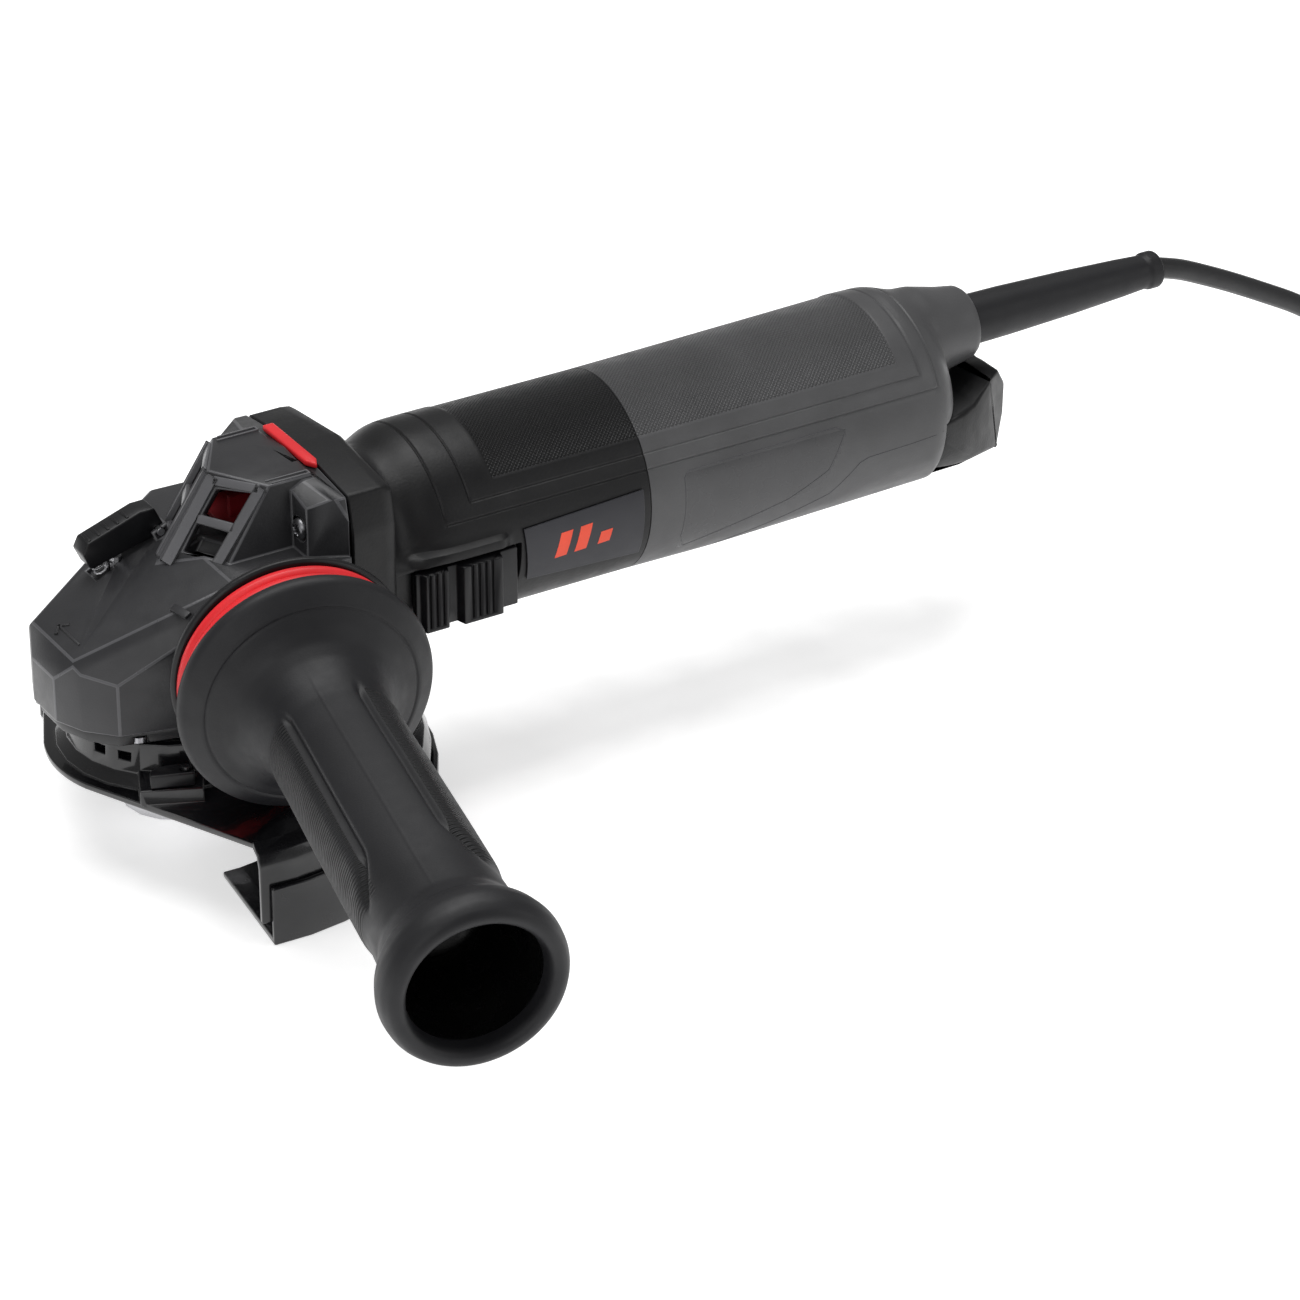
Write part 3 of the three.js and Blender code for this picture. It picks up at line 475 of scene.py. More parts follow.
# Lane and layer of the coil after a number of turns. Each layer winds in, then the next winds out.
def coilPlace(turn):
    lane, layer, last = 0.0, 0.0, cable["lanes"] - 1
    for step in range(cable["layers"]):
        base = step * (last + 0.5)
        for shift in range(last):
            amount = smooth((turn - base - shift - 0.75) / 0.25)
            lane += amount if step % 2 == 0 else -amount
        if step < cable["layers"] - 1:
            layer += smooth((turn - base - last - 0.5) / 0.25)
    return lane, layer


def coilPoints():
    middle = Vector((*cable["ringMiddle"], cable["surface"] + cable["diameter"] / 2))
    steps = 28
    made = []
    for i in range(1, cable["turns"] * steps + 1):
        turn = i / steps
        lane, layer = coilPlace(turn)
        radius = cable["outerLane"] - lane * cable["diameter"]
        angle = math.pi / 2 - 2 * math.pi * turn
        ring = Vector((radius * math.cos(angle), radius * math.sin(angle), layer * cable["diameter"]))
        made.append(middle + ring)
    return made


def cablePath():
    start = Vector((cable["exit"][0], 0, cable["exit"][1]))
    free = [start] + [Vector((x, 0, z)) for x, z in cable["route"]]
    path = curved(free, 4)
    path += coilPoints()
    tail = Vector(cable["plugTail"])
    top = path[-1]
    for t in (0.2, 0.4, 0.6, 0.8, 1):
        height = tail.z + (top.z - tail.z) * smooth(1 - t)
        path.append(Vector((top.x + (tail.x - top.x) * t, tail.y, height)))
    return [at(*point) for point in path]


def pathLength(path):
    return sum((b - a).length for a, b in zip(path, path[1:]))


def addCable():
    path = cablePath()
    length = pathLength(path)
    cord = wire("cable", path, cable["diameter"] / 2, "cable", "housing")
    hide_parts("cord_tube", "cord_coil")
    print("cable length", round(length, 3))
    return cord, path[0], length


# Profiles of turned pieces are (radius, distance along the axis).
plug = {
    "place": (602.5, 0, -57.9),
    "profile": [(4.2, -30), (5, -29), (5, -27), (5.5, -15), (6, -6), (12, 0), (18.4, 6), (18.4, 24),
                (17.2, 25.5), (17.2, 35.9), (16, 36)],
    "ribs": 12,
    "ribDepth": 0.5,
    "ribRange": (7, 23),
    "pinSpread": 9.5,
    "pin": [(2.3, 30), (2.3, 53.5), (1.2, 54.9)],
    "face": 36.1,
}


def addPlug():
    x, y, z = plug["place"]
    low, high = plug["ribRange"]

    def ribbed(radius, height, degrees):
        depth = plug["ribDepth"] if low < height < high else 0
        return radius - depth * max(0, math.sin(math.radians(degrees * plug["ribs"])))

    bm = turnedMesh(rounded(plug["profile"], 1.0), axisFrame((x, y, z), (1, 0, 0)), 96, ribbed)
    for side in (-plug["pinSpread"], plug["pinSpread"]):
        turnedMesh(rounded(plug["pin"], 0.5), axisFrame((x, y + side, z), (1, 0, 0)), 24, bm=bm)
    for face in bm.faces:
        face.material_index = int(face.calc_center_median().x > (x + plug["face"]) * mm)
    return showPiece("mains_plug", bm, ["rubber", "brass"], "housing", ["plug"])


boot = {
    "height": 15.2,
    "profile": [(4, 256), (7.8, 257), (7.8, 270), (7.9, 272), (7.7, 286), (6.9, 310), (5.9, 330),
                (5.3, 338.6), (5.9, 339.6), (5.9, 343), (5.2, 343.9), (3.9, 343.9)],
}


def addBoot():
    bm = turnedMesh(rounded(boot["profile"], 0.8, 4), axisFrame((0, 0, boot["height"]), (1, 0, 0)), 64)
    return showPiece("cable_sleeve", bm, ["rubber"], "housing", ["cable_boot"])


cord, cableExit, cableLength = addCable()
plugPiece = addPlug()
addBoot()
print("cable done")


# Angles around the motor axis run from the far side at 0 over the top at 90 to the near side at 180.
motor = {
    "front": 56.4,
    "rear": 141.6,
    "radius": 30.7,
    "inner": 27.6,
    "neck": (67, 0.7, 7),  # place, depth and spread of the narrowing behind the collar
    "saddle": (63.5, 3.2, 6.5),  # the same for the thumb saddles
    "shoulder": 1.8,
    "hood": 2.6,  # rise over the switch
    "panel": (93, 138),  # where the knurled panel starts, and its side
    "outlines": [(84, 148), (75, 157)],  # the grooves around it
    "panelDepth": 0.3,
    "grooveDepth": 0.4,
    "switchFlat": 28.2,
    "labelSeat": 30.85,
}


def between(value, low, high, blend):
    return smooth((value - low) / blend + 0.5) * smooth((high - value) / blend + 0.5)


def bell(value, middle, depth, spread):
    return depth * math.exp(-((value - middle) / spread) ** 2)


# Depth, from 0 to 1, of a groove in U shape with its closed end at edgeX.
def outlineDepth(x, angle, edgeX, edgeAngle, towards, radius=31, width=0.55):
    inside = (x - edgeX) * towards
    side = (abs(angle - 90) - (edgeAngle - 90)) * math.pi / 180 * radius
    if inside > -width and side < width:
        return max(0.0, 1 - abs(max(-inside, side)) / width) if inside < width or side > -width else 0.0
    return 0.0


# Radius of the black shell at a place along the motor and an angle.
def motorRadius(x, angle):
    radius = motor["radius"] - bell(x, *motor["neck"])
    saddles = between(angle, 66, 171, 10) + between(angle, 9, 66, 10)
    radius -= saddles * bell(x, *motor["saddle"])
    radius += motor["shoulder"] * between(angle, 20, 165, 20) * smooth((61 - x) / 5)
    radius += motor["hood"] * between(x, 64, 93, 5) * between(angle, 170, 176.5, 3)
    panelX, panelAngle = motor["panel"]
    side = abs(angle - 90) - (panelAngle - 90)
    if x > panelX - 0.5 and side < 1:
        radius -= motor["panelDepth"] * smooth((x - panelX + 0.5)) * smooth(1 - side)
    for edgeX, edgeAngle in motor["outlines"]:
        radius -= motor["grooveDepth"] * outlineDepth(x, angle, edgeX, edgeAngle, 1)
    if 57.4 < x < 98 and 177.2 < angle < 213.8:
        radius = min(radius, motor["switchFlat"] / abs(math.cos(math.radians(angle))))
    if 98 < x < 140 and 165 < angle < 213:
        radius = min(radius, motor["labelSeat"])
    return radius


# Even stations with extra ones on both sides of each detail.
def stationList(low, high, spacing, details, halfWidth=0.55):
    count = max(2, round((high - low) / spacing))
    even = [low + (high - low) * i / count for i in range(count + 1)]
    extra = [d + o for d in details for o in (-halfWidth, 0, halfWidth)]
    kept = [e for e in even if all(abs(e - x) > 0.25 * spacing for x in extra)]
    return sorted({round(v, 4) for v in kept + extra if low <= v <= high} | {low, high})


def skinMesh(stations, angles, place):
    bm = bmesh.new()
    rows = [[bm.verts.new(place(x, a)) for a in angles] for x in stations]
    faces = []
    for i, (first, second) in enumerate(zip(rows, rows[1:])):
        for k in range(len(angles)):
            m = (k + 1) % len(angles)
            face = bm.faces.new((first[k], first[m], second[m], second[k]))
            faces.append((face, stations[i], angles[k]))
    return bm, rows, faces


def aroundMotor(x, angle, radius):
    turn = math.radians(angle)
    return at(x, radius * math.cos(turn), radius * math.sin(turn))


def inPanel(x, angle, edgeX, edgeAngle, towards):
    return (x - edgeX) * towards > -0.2 and abs(angle - 90) < edgeAngle - 90 - 0.4


def addMotorShell():
    sides = [motor["panel"][1]] + [a for _, a in motor["outlines"]]
    marks = sides + [180 - a for a in sides]
    angles = stationList(-60, 299, 2.2, marks + [170, 176.5, 177.2, 213.8], 1.05)
    ends = [motor["panel"][0]] + [x for x, _ in motor["outlines"]]
    stations = stationList(motor["front"], motor["rear"], 1.1, ends + [57.5, 98.1])

    def skin(x, angle):
        return aroundMotor(x, angle, motorRadius(x, angle))

    bm, rows, faces = skinMesh(stations, angles, skin)
    for face, x, angle in faces:
        face.material_index = int(inPanel(x, angle, *motor["panel"], 1))
    for row in (rows[0], rows[-1]):
        x = row[0].co.x / mm
        inner = [bm.verts.new(aroundMotor(x, a, motor["inner"])) for a in angles]
        for k in range(len(angles)):
            m = (k + 1) % len(angles)
            bm.faces.new((row[k], row[m], inner[m], inner[k]))
    return showPiece("motor_shell", bm, ["blackShell", "blackKnurl"], "housing", ["motor_housing"],
                     30)


collar = {
    "outline": [(0, 35), (-30, 31.2), (-32.5, 20), (-32.5, -14), (-24, -30), (24, -30), (32.5, -14),
                (32.5, 20), (30, 31.2)],
    "layers": [(42.4, -0.5), (42.8, 0), (52.5, 0), (55.2, -0.4), (56.6, -1.6), (56.7, -4.5)],
    "corner": 1.6,
}


# The flat-sided collar between the head and the motor housing. Its layers are (x, growth of the outline).
def addCollar():
    bm = bmesh.new()
    outline = rounded([*collar["outline"], collar["outline"][0]], collar["corner"], 4)[:-1]
    outline = [p for i, p in enumerate(outline) if i == 0 or (p - outline[i - 1]).length > 0.05]
    rows = []
    for x, grow in collar["layers"]:
        row = []
        for point in outline:
            spot = point + point.normalized() * grow
            row.append(bm.verts.new(at(x, *spot)))
        rows.append(row)
    for first, second in zip(rows, rows[1:]):
        for k in range(len(outline)):
            m = (k + 1) % len(outline)
            bm.faces.new((first[k], first[m], second[m], second[k]))
    bm.faces.new(rows[0])
    bm.faces.new(list(reversed(rows[-1])))
    bmesh.ops.triangulate(bm, faces=[f for f in bm.faces if len(f.verts) > 4])
    return showPiece("motor_collar", bm, ["blackShell"], "housing", (), 35)


# A thin seam on the shell through corners of (x, angle).
def outlineWire(name, corners, radiusOf, material, thickness=0.2):
    path = []
    for (x0, a0), (x1, a1) in zip(corners, corners[1:]):
        steps = max(2, int(abs(a1 - a0) / 3 + abs(x1 - x0) / 4))
        for i in range(steps):
            x, a = x0 + (x1 - x0) * i / steps, a0 + (a1 - a0) * i / steps
            path.append(aroundMotor(x, a, radiusOf(x, a) - thickness * 0.45))
    x, a = corners[-1]
    path.append(aroundMotor(x, a, radiusOf(x, a) - thickness * 0.45))
    return wire(name, path, thickness, material, "housing")


addMotorShell()
addCollar()
print("motor housing done")


# Corners are (x, angle) on the motor housing.
label = {
    "corners": [(98.8, 170), (139.2, 166.5), (139.2, 208), (100.6, 203)],
    "radius": 31.32,
    "thickness": 0.35,
    "markProud": 0.04,
    "mark": [
        [(111, 178), (115, 177.6), (113, 192.4), (109, 192.8)],
        [(117.6, 177.4), (121.6, 177), (119.6, 191.8), (115.6, 192.2)],
        [(124.4, 184), (128.4, 183.6), (127.4, 191), (123.4, 191.4)],
    ],
}


# A patch of the curved label between four corners.
def labelPatch(bm, corners, radius, across, down):
    topLeft, topRight, lowRight, lowLeft = [Vector(corner) for corner in corners]
    grid = []
    for i in range(down + 1):
        left, right = topLeft.lerp(lowLeft, i / down), topRight.lerp(lowRight, i / down)
        spots = [left.lerp(right, k / across) for k in range(across + 1)]
        grid.append([bm.verts.new(aroundMotor(x, angle, radius)) for x, angle in spots])
    for first, second in zip(grid, grid[1:]):
        for k in range(across):
            bm.faces.new((first[k], first[k + 1], second[k + 1], second[k]))


def labelFrame():
    bm = bmesh.new()
    labelPatch(bm, label["corners"], label["radius"], 24, 18)
    made = bmesh.ops.extrude_face_region(bm, geom=bm.faces[:])
    inward = (label["radius"] - label["thickness"]) / label["radius"]
    for vert in made["geom"]:
        if isinstance(vert, bmesh.types.BMVert):
            centre = Vector((vert.co.x, 0, lift * mm))
            vert.co = centre + (vert.co - centre) * inward
    return showPiece("label_plate", bm, ["label"], "housing", ["label_panel"])


# Two slanted bars and a dot: a plain mark that stands for nothing.
def labelMark():
    bm = bmesh.new()
    for corners in label["mark"]:
        labelPatch(bm, corners, label["radius"] + label["markProud"], 3, 6)
    return showPiece("label_mark", bm, ["mark"], "housing", ())


labelFrame()
labelMark()
print("label done")


rear = {
    "front": 141.95,
    "end": 271,
    "panel": (231, 138),  # where the knurled panel ends, and its side
    "outlines": [(238, 148), (243.5, 157)],
    "barrel": [(141, 30.7), (165, 31), (205, 31.6), (232, 32), (240, 31.8)],
    "nose": [(236, 15.8), (254, 15), (264, 12.6), (270, 11.6), (271, 10.9)],
    "noseZ": 15.2,
    "closing": (240, 19),  # where the elliptical end starts, and its length
    "blend": 1.2,
    "skirt": -0.75,
    "shelf": 246,  # behind this the underside is flat, over the tail cover
    "sideSeam": [(156, 217), (153.6, 205), (153.6, 167), (155, 163.5), (206, 162.5), (209, 166),
                 (203, 186), (190, 199), (156, 217)],
    "lowerSeam": [(170, 230), (205, 204), (214, 187), (217, 185), (244.5, 183)],
}


# A straight-line value between the points of a short table.
def sloped(table, x):
    for (x0, v0), (x1, v1) in zip(table, table[1:]):
        if x <= x1:
            return v0 + (v1 - v0) * max(0.0, x - x0) / (x1 - x0)
    return table[-1][1]


# The barrel of the grey shell, closed by an elliptical end.
def rearBody(x):
    barrel = sloped(rear["barrel"], x)
    start, length = rear["closing"]
    if x <= start:
        return barrel
    return barrel * math.sqrt(max(0.0, 1 - ((x - start) / length) ** 2))


# Distance from a centre to a circle whose own centre is lower by offset.
def offsetCircle(radius, offset, angle):
    s, c = math.sin(angle), math.cos(angle)
    inside = radius * radius - offset * offset * c * c
    return -offset * s + math.sqrt(inside) if inside > 0 else 0.0


def rearCentre(x):
    return rear["noseZ"] * smooth((x - 200) / 40)


def bellyRadius(x):
    return 35.2 - 1.8 * (x - 142) / 104


# Radius of the grey shell around a centre that climbs from the motor axis to the cable.
def rearRadius(x, angle):
    turn = math.radians(angle)
    centre = rearCentre(x)
    radius = offsetCircle(rearBody(x), centre, turn)
    radius = min(radius, offsetCircle(bellyRadius(x), centre - 4.3, turn)) if x < 250 else radius
    nose = sloped(rear["nose"], x) if x > 237 else 0
    fillet = rear["blend"] * math.exp(-abs(radius - nose) / rear["blend"]) * (0.6 if x > 240 else 0)
    radius = max(radius, nose) + fillet
    if x > rear["shelf"] and math.sin(turn) < 0:
        radius = min(radius, (centre - rear["skirt"]) / -math.sin(turn))
    return radius


def rearPoint(x, angle):
    turn = math.radians(angle)
    centre = rearCentre(x)
    radius = rearRadius(x, angle)
    y, z = radius * math.cos(turn), centre + radius * math.sin(turn)
    around = math.degrees(math.atan2(z, y)) % 360
    panelX, panelAngle = rear["panel"]
    side = abs(around - 90) - (panelAngle - 90)
    if x < panelX + 0.5 and side < 1:
        radius -= motor["panelDepth"] * smooth(panelX + 0.5 - x) * smooth(1 - side)
    for edgeX, edgeAngle in rear["outlines"]:
        radius -= motor["grooveDepth"] * outlineDepth(x, around, edgeX, edgeAngle, -1)
    return at(x, radius * math.cos(turn), centre + radius * math.sin(turn))


# The angle about the moving centre where the barrel angle is the wanted one.
def barrelAngle(x, wanted):
    low, high = wanted - 60, wanted + 60
    for _ in range(30):
        middle = (low + high) / 2
        turn = math.radians(middle)
        radius = rearRadius(x, middle)
        y, z = radius * math.cos(turn), rearCentre(x) + radius * math.sin(turn)
        around = math.degrees(math.atan2(z, y)) % 360
        if (around - wanted + 180) % 360 - 180 < 0:
            low = middle
        else:
            high = middle
    return (low + high) / 2


# Inside the slanted side panel, on either side of the shell.
def inFilm(x, angle):
    turned = 180 - angle if angle < 90 else angle
    if turned < 0:
        turned += 360
    low = 163.5 if x > 154 else 167
    rightEnd = 209 - max(0, turned - 166) * 0.3
    corner = 217 - max(0, x - 156) * 0.53
    return 153.6 < x < rightEnd and low < turned < corner


def addRearShell():
    sides = [rear["panel"][1]] + [a for _, a in rear["outlines"]]
    wantedAngles = stationList(-60, 299, 2.2, sides + [180 - a for a in sides], 1.05)
    ends = [rear["panel"][0]] + [x for x, _ in rear["outlines"]]
    stations = stationList(rear["front"], rear["end"], 1.1, ends)
    stations = sorted(set(stations) | {245.9, 246.1, 261.9, 262.1})
    bm = bmesh.new()
    rows, angles = [], []
    for x in stations:
        if x < 247:  # behind the outlines the last angles are kept
            angles = [barrelAngle(x, wanted) for wanted in wantedAngles]
        rows.append([bm.verts.new(rearPoint(x, angle)) for angle in angles])
    count = len(wantedAngles)
    for i, (first, second) in enumerate(zip(rows, rows[1:])):
        for k in range(count):
            m = (k + 1) % count
            face = bm.faces.new((first[k], first[m], second[m], second[k]))
            knurled = inPanel(stations[i], wantedAngles[k], *rear["panel"], -1)
            face.material_index = 1 if knurled else 2 if inFilm(stations[i], wantedAngles[k]) else 0
    # Each open end is turned in and given a short wall: (row, x, radius, height, depth).
    mouths = (
        (rows[0], rear["front"], 27.8, 0, 4),
        (rows[-1], rear["end"], 8.4, rear["noseZ"], -5),
    )
    for row, x, radius, height, depth in mouths:
        inner = []
        for vert in row:
            offset = Vector((vert.co.y / mm, vert.co.z / mm - lift - height)).normalized() * radius
            inner.append(bm.verts.new(at(x, offset.x, height + offset.y)))
        deep = [bm.verts.new(vert.co + Vector((depth * mm, 0, 0))) for vert in inner]
        for k in range(count):
            m = (k + 1) % count
            bm.faces.new((row[k], row[m], inner[m], inner[k]))
            bm.faces.new((inner[k], inner[m], deep[m], deep[k]))
    return showPiece("rear_shell", bm, ["greyShell", "greyKnurl", "greyFilm"], "housing",
                     ["rear_housing"], 35)


def plainRear(x, angle):
    return min(rearBody(x), offsetCircle(bellyRadius(x), -4.3, math.radians(angle)))


# Thin seams on both sides of the shell.
def addRearSeams():
    for side in ("near", "far"):
        for name, corners in (("side_panel", rear["sideSeam"]), ("lower", rear["lowerSeam"])):
            path = corners if side == "near" else [(x, 180 - angle) for x, angle in corners]
            outlineWire(f"{name}_seam_{side}", path, plainRear, "greySeam")


addRearShell()
addRearSeams()
print("rear housing done")


easedCopy("tail_shell", "tail_cover", "blackShell", 1.1, 24, 2.2)
print("tail done")


# The handle's own degrees run around its axis, and its heights run out from the head.
handle = {
    "root": (21.3, 0, -0.6),
    "bands": ((38.5, 111.5), (218.5, 291.5)),  # smooth bands between the ribbed pads
    "grooveStart": 88,
    "grooveEnd": 176,
    "grooveDepth": 1.5,
    "grooveWidth": 3.4,
    "flare": 24,
    "grip": [
        (11.3, 61), (35.2, 61), (36.9, 62.6), (37.15, 65), (36.4, 66.6), (32, 69.9), (31.2, 70.2),
        (30.7, 70), (30.2, 70.6), (27, 72.2), (23.4, 75.2), (20.8, 79.4), (19.2, 84.5), (18.3, 92),
        (18.3, 104), (18.8, 124), (19.2, 150), (19.4, 172), (20.2, 186), (22.4, 192.6), (24.9, 196.6),
        (26.2, 201), (25.9, 205), (24.4, 208), (22.4, 208.95), (20.6, 208.4), (19.6, 206.6), (19, 202),
        (18.2, 194), (17.4, 184), (16.6, 176), (15.4, 171.6), (13, 169.6), (11.4, 169.2),
    ],
    "core": [(4.2, 48), (10.9, 48), (10.9, 168.2), (10.2, 169), (0.3, 169.2)],
    "disc": [(11.5, 48.1), (33.4, 48.3), (34.6, 49.2), (34.7, 50.6), (33.8, 51.35), (11.5, 51.35)],
    "damper": [(11.5, 51.8), (32.4, 51.8), (33.6, 52.6), (33.8, 54.2), (33.1, 55.3), (32.4, 55.7),
               (33.4, 56.4), (33.9, 57.8), (33.7, 59.4), (32.8, 60.6), (11.5, 60.6)],
}
handleFrame = axisFrame(handle["root"], handleAxis)


# Adds the two smooth bands, their grooves and the raised side pads to the grip.
def gripRadius(radius, height, degrees):
    if height < 78 or height > 194 or radius < 17.9:
        return radius
    spread = smooth((height - 78) / 14) * smooth((194 - height) / 14)
    flare = handle["flare"] * smooth((height - 156) / 22)
    bands = [(low - flare, high + flare) for low, high in handle["bands"]]
    gap = min(abs((degrees - edge + 180) % 360 - 180) for band in bands for edge in band)
    inBand = any(low < degrees < high for low, high in bands)
    distance = gap * math.pi / 180 * radius
    ends = smooth((height - handle["grooveStart"]) / 6) * smooth((handle["grooveEnd"] - height) / 8)
    groove = bell(distance, 0, handle["grooveDepth"], handle["grooveWidth"] * 0.33) * ends
    pad = 0.9 * smooth(distance / 5) * ends if not inBand else 0.0
    seam = bell((degrees - 75 + 90) % 180 - 90, 0, 0.16, 1.0) * spread
    flat = 0.3 * spread * smooth(distance / 10) if inBand else 0.0
    return radius - groove + pad - flat + seam


# Finish of a face of the grip: 1 on the ribbed pads, 2 inside the cup, where the rubber is painted darker as
# shade.
def gripFinish(face):
    origin, along, side, up = handleFrame
    spot = face.calc_center_median() / mm - Vector((0, 0, lift)) - origin
    height = spot.dot(along)
    reach = (spot - along * height).length
    degrees = math.degrees(math.atan2(spot.dot(up), spot.dot(side))) % 360
    padded = not any(low - 5 < degrees < high + 5 for low, high in handle["bands"])
    if height > 166 and reach < 19.3 - (208 - height) * 0.03 and reach < 18.6 + (height - 195) * 0.08:
        return 2
    return 1 if 91 < height < 172 and padded and reach > 15 else 0


def addGrip():
    fine = rounded(handle["grip"], 1.2, 3)
    dense = []
    for a, b in zip(fine, fine[1:]):
        pieces = max(1, int((b - a).length / 1.6))
        dense += [a.lerp(b, i / pieces) for i in range(pieces)]
    dense.append(fine[-1])
    bm = turnedMesh(dense, handleFrame, 288, gripRadius)
    for face in bm.faces:
        face.material_index = gripFinish(face)
    return showPiece("grip_body", bm, ["rubber", "ribbedRubber", "cupShadeRubber"], "housing", ["handle_grip"],
                     50)


# The plastic core, ending under the bottom of the cup, in the darkest rubber finish as painted shade.
def addCore():
    bm = turnedMesh(rounded(handle["core"], 0.5), handleFrame, 64)
    showPiece("handle_tube", bm, ["cupShadeRubber"], "housing", ["handle_core"], 50)


def addHandleRings():
    disc = turnedMesh(rounded(handle["disc"], 0.4), handleFrame, 128, closed=True)
    showPiece("handle_back_disc", disc, ["darkParts"], "housing", ["back_disc"], 50)
    ring = turnedMesh(rounded(handle["damper"], 0.4), handleFrame, 128, closed=True)
    showPiece("red_damper", ring, ["red"], "housing", ["damper_ring"], 50)


addGrip()
addCore()
addHandleRings()
print("side handle done")


# Window bars are (start, end, width) in the plane of the window, along its top edge and down from it.
vent = {
    "point": Vector((14, 0, 34)),
    "normal": Vector((-0.74, -0.44, 0.51)).normalized(),
    "top": Vector((10, -17, 0)).normalized(),
    "bars": [((2.2, 1.4), (-5.6, 28.2), 3.7), ((18.1, 1.2), (10, 26), 3.2),
             ((2.6, 2.4), (17.6, 1.6), 2.6), ((0.6, 13.9), (12.8, 14), 2.6)],
    "thickness": 1.2,
    "sink": 0.5,
}


def ventSpot(along, down, mirror):
    downward = vent["normal"].cross(vent["top"]).normalized()
    if downward.z > 0:
        downward.negate()
    spot = vent["point"] + vent["top"] * along + downward * down
    return Vector((spot.x, -spot.y if mirror else spot.y, spot.z))


def addVentFrames():
    bm = bmesh.new()
    for mirror in (False, True):
        normal = vent["normal"].copy()
        if mirror:
            normal.y = -normal.y
        sink = -normal * vent["sink"]
        for start, end, width in vent["bars"]:
            low, high = ventSpot(*start, mirror) + sink, ventSpot(*end, mirror) + sink
            boxAlong(bm, low, high, width, vent["thickness"], normal, 0.35)
    # The bars are painted lighter than the head as a highlight.
    return showPiece("vent_frames", bm, ["headBarHighlight"], "housing", (), 40)


roof = {"height": 33.8, "front": 25.6, "back": 37.6, "side": 16.6, "gap": 1.9, "ridge": 0.6}


# Raised double lines beside the roof's long edges, joined at the back.
def addRoofRidges():
    bm = bmesh.new()
    top, back, ridge = roof["height"], roof["back"], roof["ridge"]

    def addRidge(start, end):
        boxAlong(bm, (*start, top), (*end, top), ridge, ridge, (0, 0, 1), 0.2)

    for side in (-1, 1):
        for inset in (0, roof["gap"]):
            y = side * (roof["side"] - inset)
            addRidge((roof["front"] - inset * 0.6, y), (back, y))
        addRidge((back, side * 14.4), (back, side * 16.9))
    # The ridges are painted lighter than the head as a highlight.
    return showPiece("roof_ridges", bm, ["headBarHighlight"], "housing", (), 40)


slope = {
    "normal": Vector((-0.414, 0, 0.91)),
    "stop": ((-9, 21.4), (-8, 29)),
    "arrow": [((-32.7, -9), (-32.7, 4)), ((-32.7, 4), (-30.6, 1.4)), ((-32.7, 4), (-34.8, 1.4))],
}


def slopeSpot(x, y):
    return Vector((x, y, 15.2 + (x - 11) * 0.455))


# A raised stop beside the handle, and a plain arrow that shows which way the spindle turns.
def addSlopeMarks():
    bm = bmesh.new()
    (x0, y0), (x1, y1) = slope["stop"]
    for side in (-1, 1):
        boxAlong(bm, slopeSpot(x0, side * y0), slopeSpot(x1, side * y1), 2.6, 1.2, slope["normal"], 0.4)
    for start, end in slope["arrow"]:
        boxAlong(bm, slopeSpot(*start), slopeSpot(*end), 0.8, 0.5, slope["normal"], 0.15)
    return showPiece("slope_marks", bm, ["headPaint"], "housing", (), 40)


lever = {"pivot": (2.6, 13.6), "tilt": 24.5, "ribs": 5, "first": -18.5, "spacing": 3.2, "side": (11.2, 16.8)}


# Grip ribs across the top of the lock lever.
def addLeverRibs():
    bm = bmesh.new()
    turn = math.radians(lever["tilt"])
    pivotX, pivotZ = lever["pivot"]
    near, far = lever["side"]
    for i in range(lever["ribs"]):
        along = lever["first"] + i * lever["spacing"]
        height = 10.0 - 1.8 * (along + 19.6) / 17.6
        x = pivotX + along * math.cos(turn) - height * math.sin(turn)
        z = pivotZ + along * math.sin(turn) + height * math.cos(turn)
        boxAlong(bm, (x, near, z), (x, far, z), 0.9, 0.5, (-math.sin(turn), 0, math.cos(turn)), 0.2)
    return showPiece("lever_ribs", bm, ["darkParts"], "lock_lever", ())


headScrew = {
    "profile": [(0.3, 51.9), (1.7, 51.8), (1.75, 32.8), (3.2, 32.6), (3.25, 31.2), (2.9, 30.4),
                (2.3, 29.98), (1.85, 29.95), (1.7, 30.2), (1.6, 31.5), (0.2, 31.7)],
    "socket": 1.9,
    "lobes": 6,
    "lobeDepth": 0.13,
}


# A round head with a six-lobed socket.
def addHeadScrew(number, side, height):
    def lobed(radius, reach, degrees):
        if radius >= headScrew["socket"] or reach >= 32:
            return radius
        wave = math.cos(math.radians(degrees * headScrew["lobes"]))
        return radius * (1 + headScrew["lobeDepth"] * wave)

    bm = turnedMesh(headScrew["profile"], axisFrame((0, side, height), (1, 0, 0)), 72, lobed)
    showPiece(f"lug_screw_{number}", bm, ["darkSteel"], "housing", [f"head_screw_{number}"], 40)


# The head's rounded edges take the lighter finish as a painted highlight.
easedCopy("head_shell", "gear_housing", "headPaint", 0.5, 22, 1.8, "headEdgeHighlight")
for number in range(1, 5):
    low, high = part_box(f"head_screw_{number}")
    middle = (low + high) / 2 / mm
    addHeadScrew(number, middle.y, middle.z - lift)

addVentFrames()
addRoofRidges()
addSlopeMarks()
easedCopy("lock_lever_shell", "lock_lever", "darkParts", 0.5, 25, 1.2)
addLeverRibs()
easedCopy("roof_inlay", "roof_insert", "red", 0.5, 25, 1.2)
easedCopy("flange_shell", "bearing_flange", "castFlange", 0.5, 25, 1.6)
easedCopy("slider_shell", "switch_slider", "darkParts", 0.35, 35, 0.9)
print("head done")


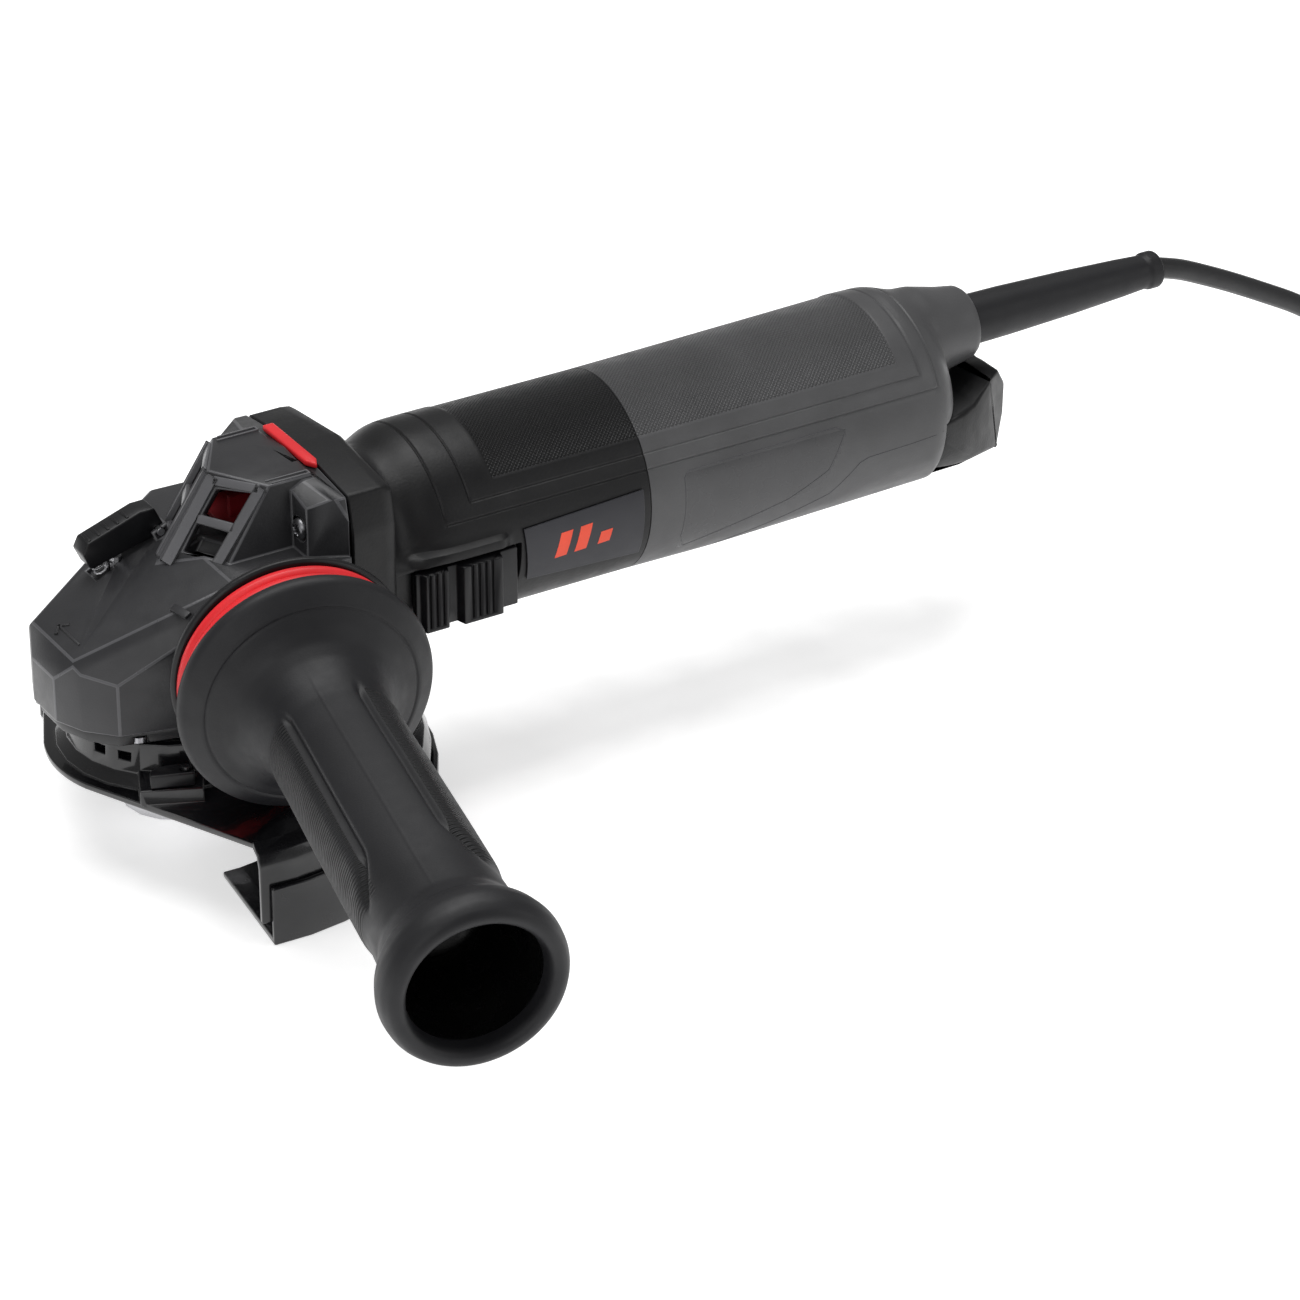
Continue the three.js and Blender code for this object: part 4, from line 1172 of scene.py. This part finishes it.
easedCopy("guard_shell", "guard", "guardPaint", 0.4, 40, 1.2)
easedCopy("guard_cover", "guard_clip", "guardPaint", 0.5, 40, 1.2)
easedCopy("release_lever", "guard_lever", "darkParts", 0.5, 30, 1.0)


# The spindle with a real thread profile under the disc flange, from its end up to the crown gear.
spindle = {
    "end": [(0.2, -71), (5.4, -71), (5.8, -70.6)],
    "thread": (-70, -53.6),
    "pitch": 2,
    "body": [(6.2, -52.5), (7.4, -52.4), (7.7, -52.1), (7.75, -44), (7.4, -43.8), (7.4, -32.4), (8.8, -32.4),
             (9, -32.2), (9, -30.2), (6.5, -30), (6.5, -5.6), (4, -4.6), (4, 4.9), (3.6, 5.2), (0.2, 5.2)],
}


def addSpindle():
    profile = list(spindle["end"])
    height, top = spindle["thread"]
    while height < top:
        profile += [(6.0, height), (6.7, height + 0.6), (6.7, height + 0.9), (6.0, height + 1.5)]
        height += spindle["pitch"]
    profile += spindle["body"]
    bm = turnedMesh(profile, axisFrame((0, 0, 0), (0, 0, 1)), 64)
    showPiece("threaded_spindle", bm, ["steel"], "spindle", ["spindle"], 30)


addSpindle()
easedCopy("clamp_flange", "inner_flange", "steel", 0.35, 30, 0.9)
easedCopy("clamp_nut", "flange_nut", "steel", 0.35, 30, 0.9)
print("guard and spindle done")


studio = {
    "fill": 0.32,
    "top": 15,
    "front": 3,
    "side": 2,
    "floor": (0.95, 0.95, 0.95),
    "floorSize": 4,
    "glow": 0.55,
}


def addFloor():
    bm = bmesh.new()
    size = studio["floorSize"]
    bmesh.ops.create_grid(bm, x_segments=1, y_segments=1, size=size)
    bmesh.ops.translate(bm, verts=bm.verts, vec=(0, 0, floorHeight - 0.05 * mm))
    mesh = bpy.data.meshes.new("floor")
    bm.to_mesh(mesh)
    bm.free()
    paper = makeMaterial("floor_paper", studio["floor"], 0.8, edge=0, grainDepth=0.02)
    shader = paper.node_tree.nodes["Principled BSDF"]
    shader.inputs["Emission Color"].default_value = (1, 1, 1, 1)
    shader.inputs["Emission Strength"].default_value = studio["glow"]
    mesh.materials.append(paper)
    floor = bpy.data.objects.new("floor", mesh)
    scene.collection.objects.link(floor)


def addLight(name, place, target, size, power):
    data = bpy.data.lights.new(name, "AREA")
    data.shape = "RECTANGLE"
    data.size, data.size_y = size
    data.energy = power
    lamp = bpy.data.objects.new(name, data)
    back = (Vector(place) - Vector(target)).normalized()
    lamp.matrix_world = Matrix.Translation(Vector(place)) @ back.to_track_quat("Z", "Y").to_matrix().to_4x4()
    scene.collection.objects.link(lamp)


# White to the camera, and a softer grey fill for everything that it lights.
def addWorld():
    world = bpy.data.worlds.new("studio")
    world.use_nodes = True
    tree = world.node_tree
    seen = tree.nodes.new("ShaderNodeLightPath").outputs["Is Camera Ray"]
    fill = studio["fill"]
    strength = mathNode(tree, "ADD", mathNode(tree, "MULTIPLY", seen, 1 - fill), fill)
    background = tree.nodes["Background"]
    background.inputs["Color"].default_value = (1, 1, 1, 1)
    link(tree, strength, background.inputs["Strength"])
    scene.world = world


addFloor()
addLight("top_light", (0.1, 0.25, 1.3), (0.12, -0.05, 0.05), (1.4, 0.9), studio["top"])
addLight("front_light", (-0.9, -0.7, 0.7), (0.05, -0.05, 0.05), (0.8, 0.8), studio["front"])
addLight("side_light", (0.9, -0.9, 0.6), (0.1, -0.05, 0.05), (0.8, 0.6), studio["side"])
addWorld()
scene.view_settings.view_transform = "Standard"
print("stage done")
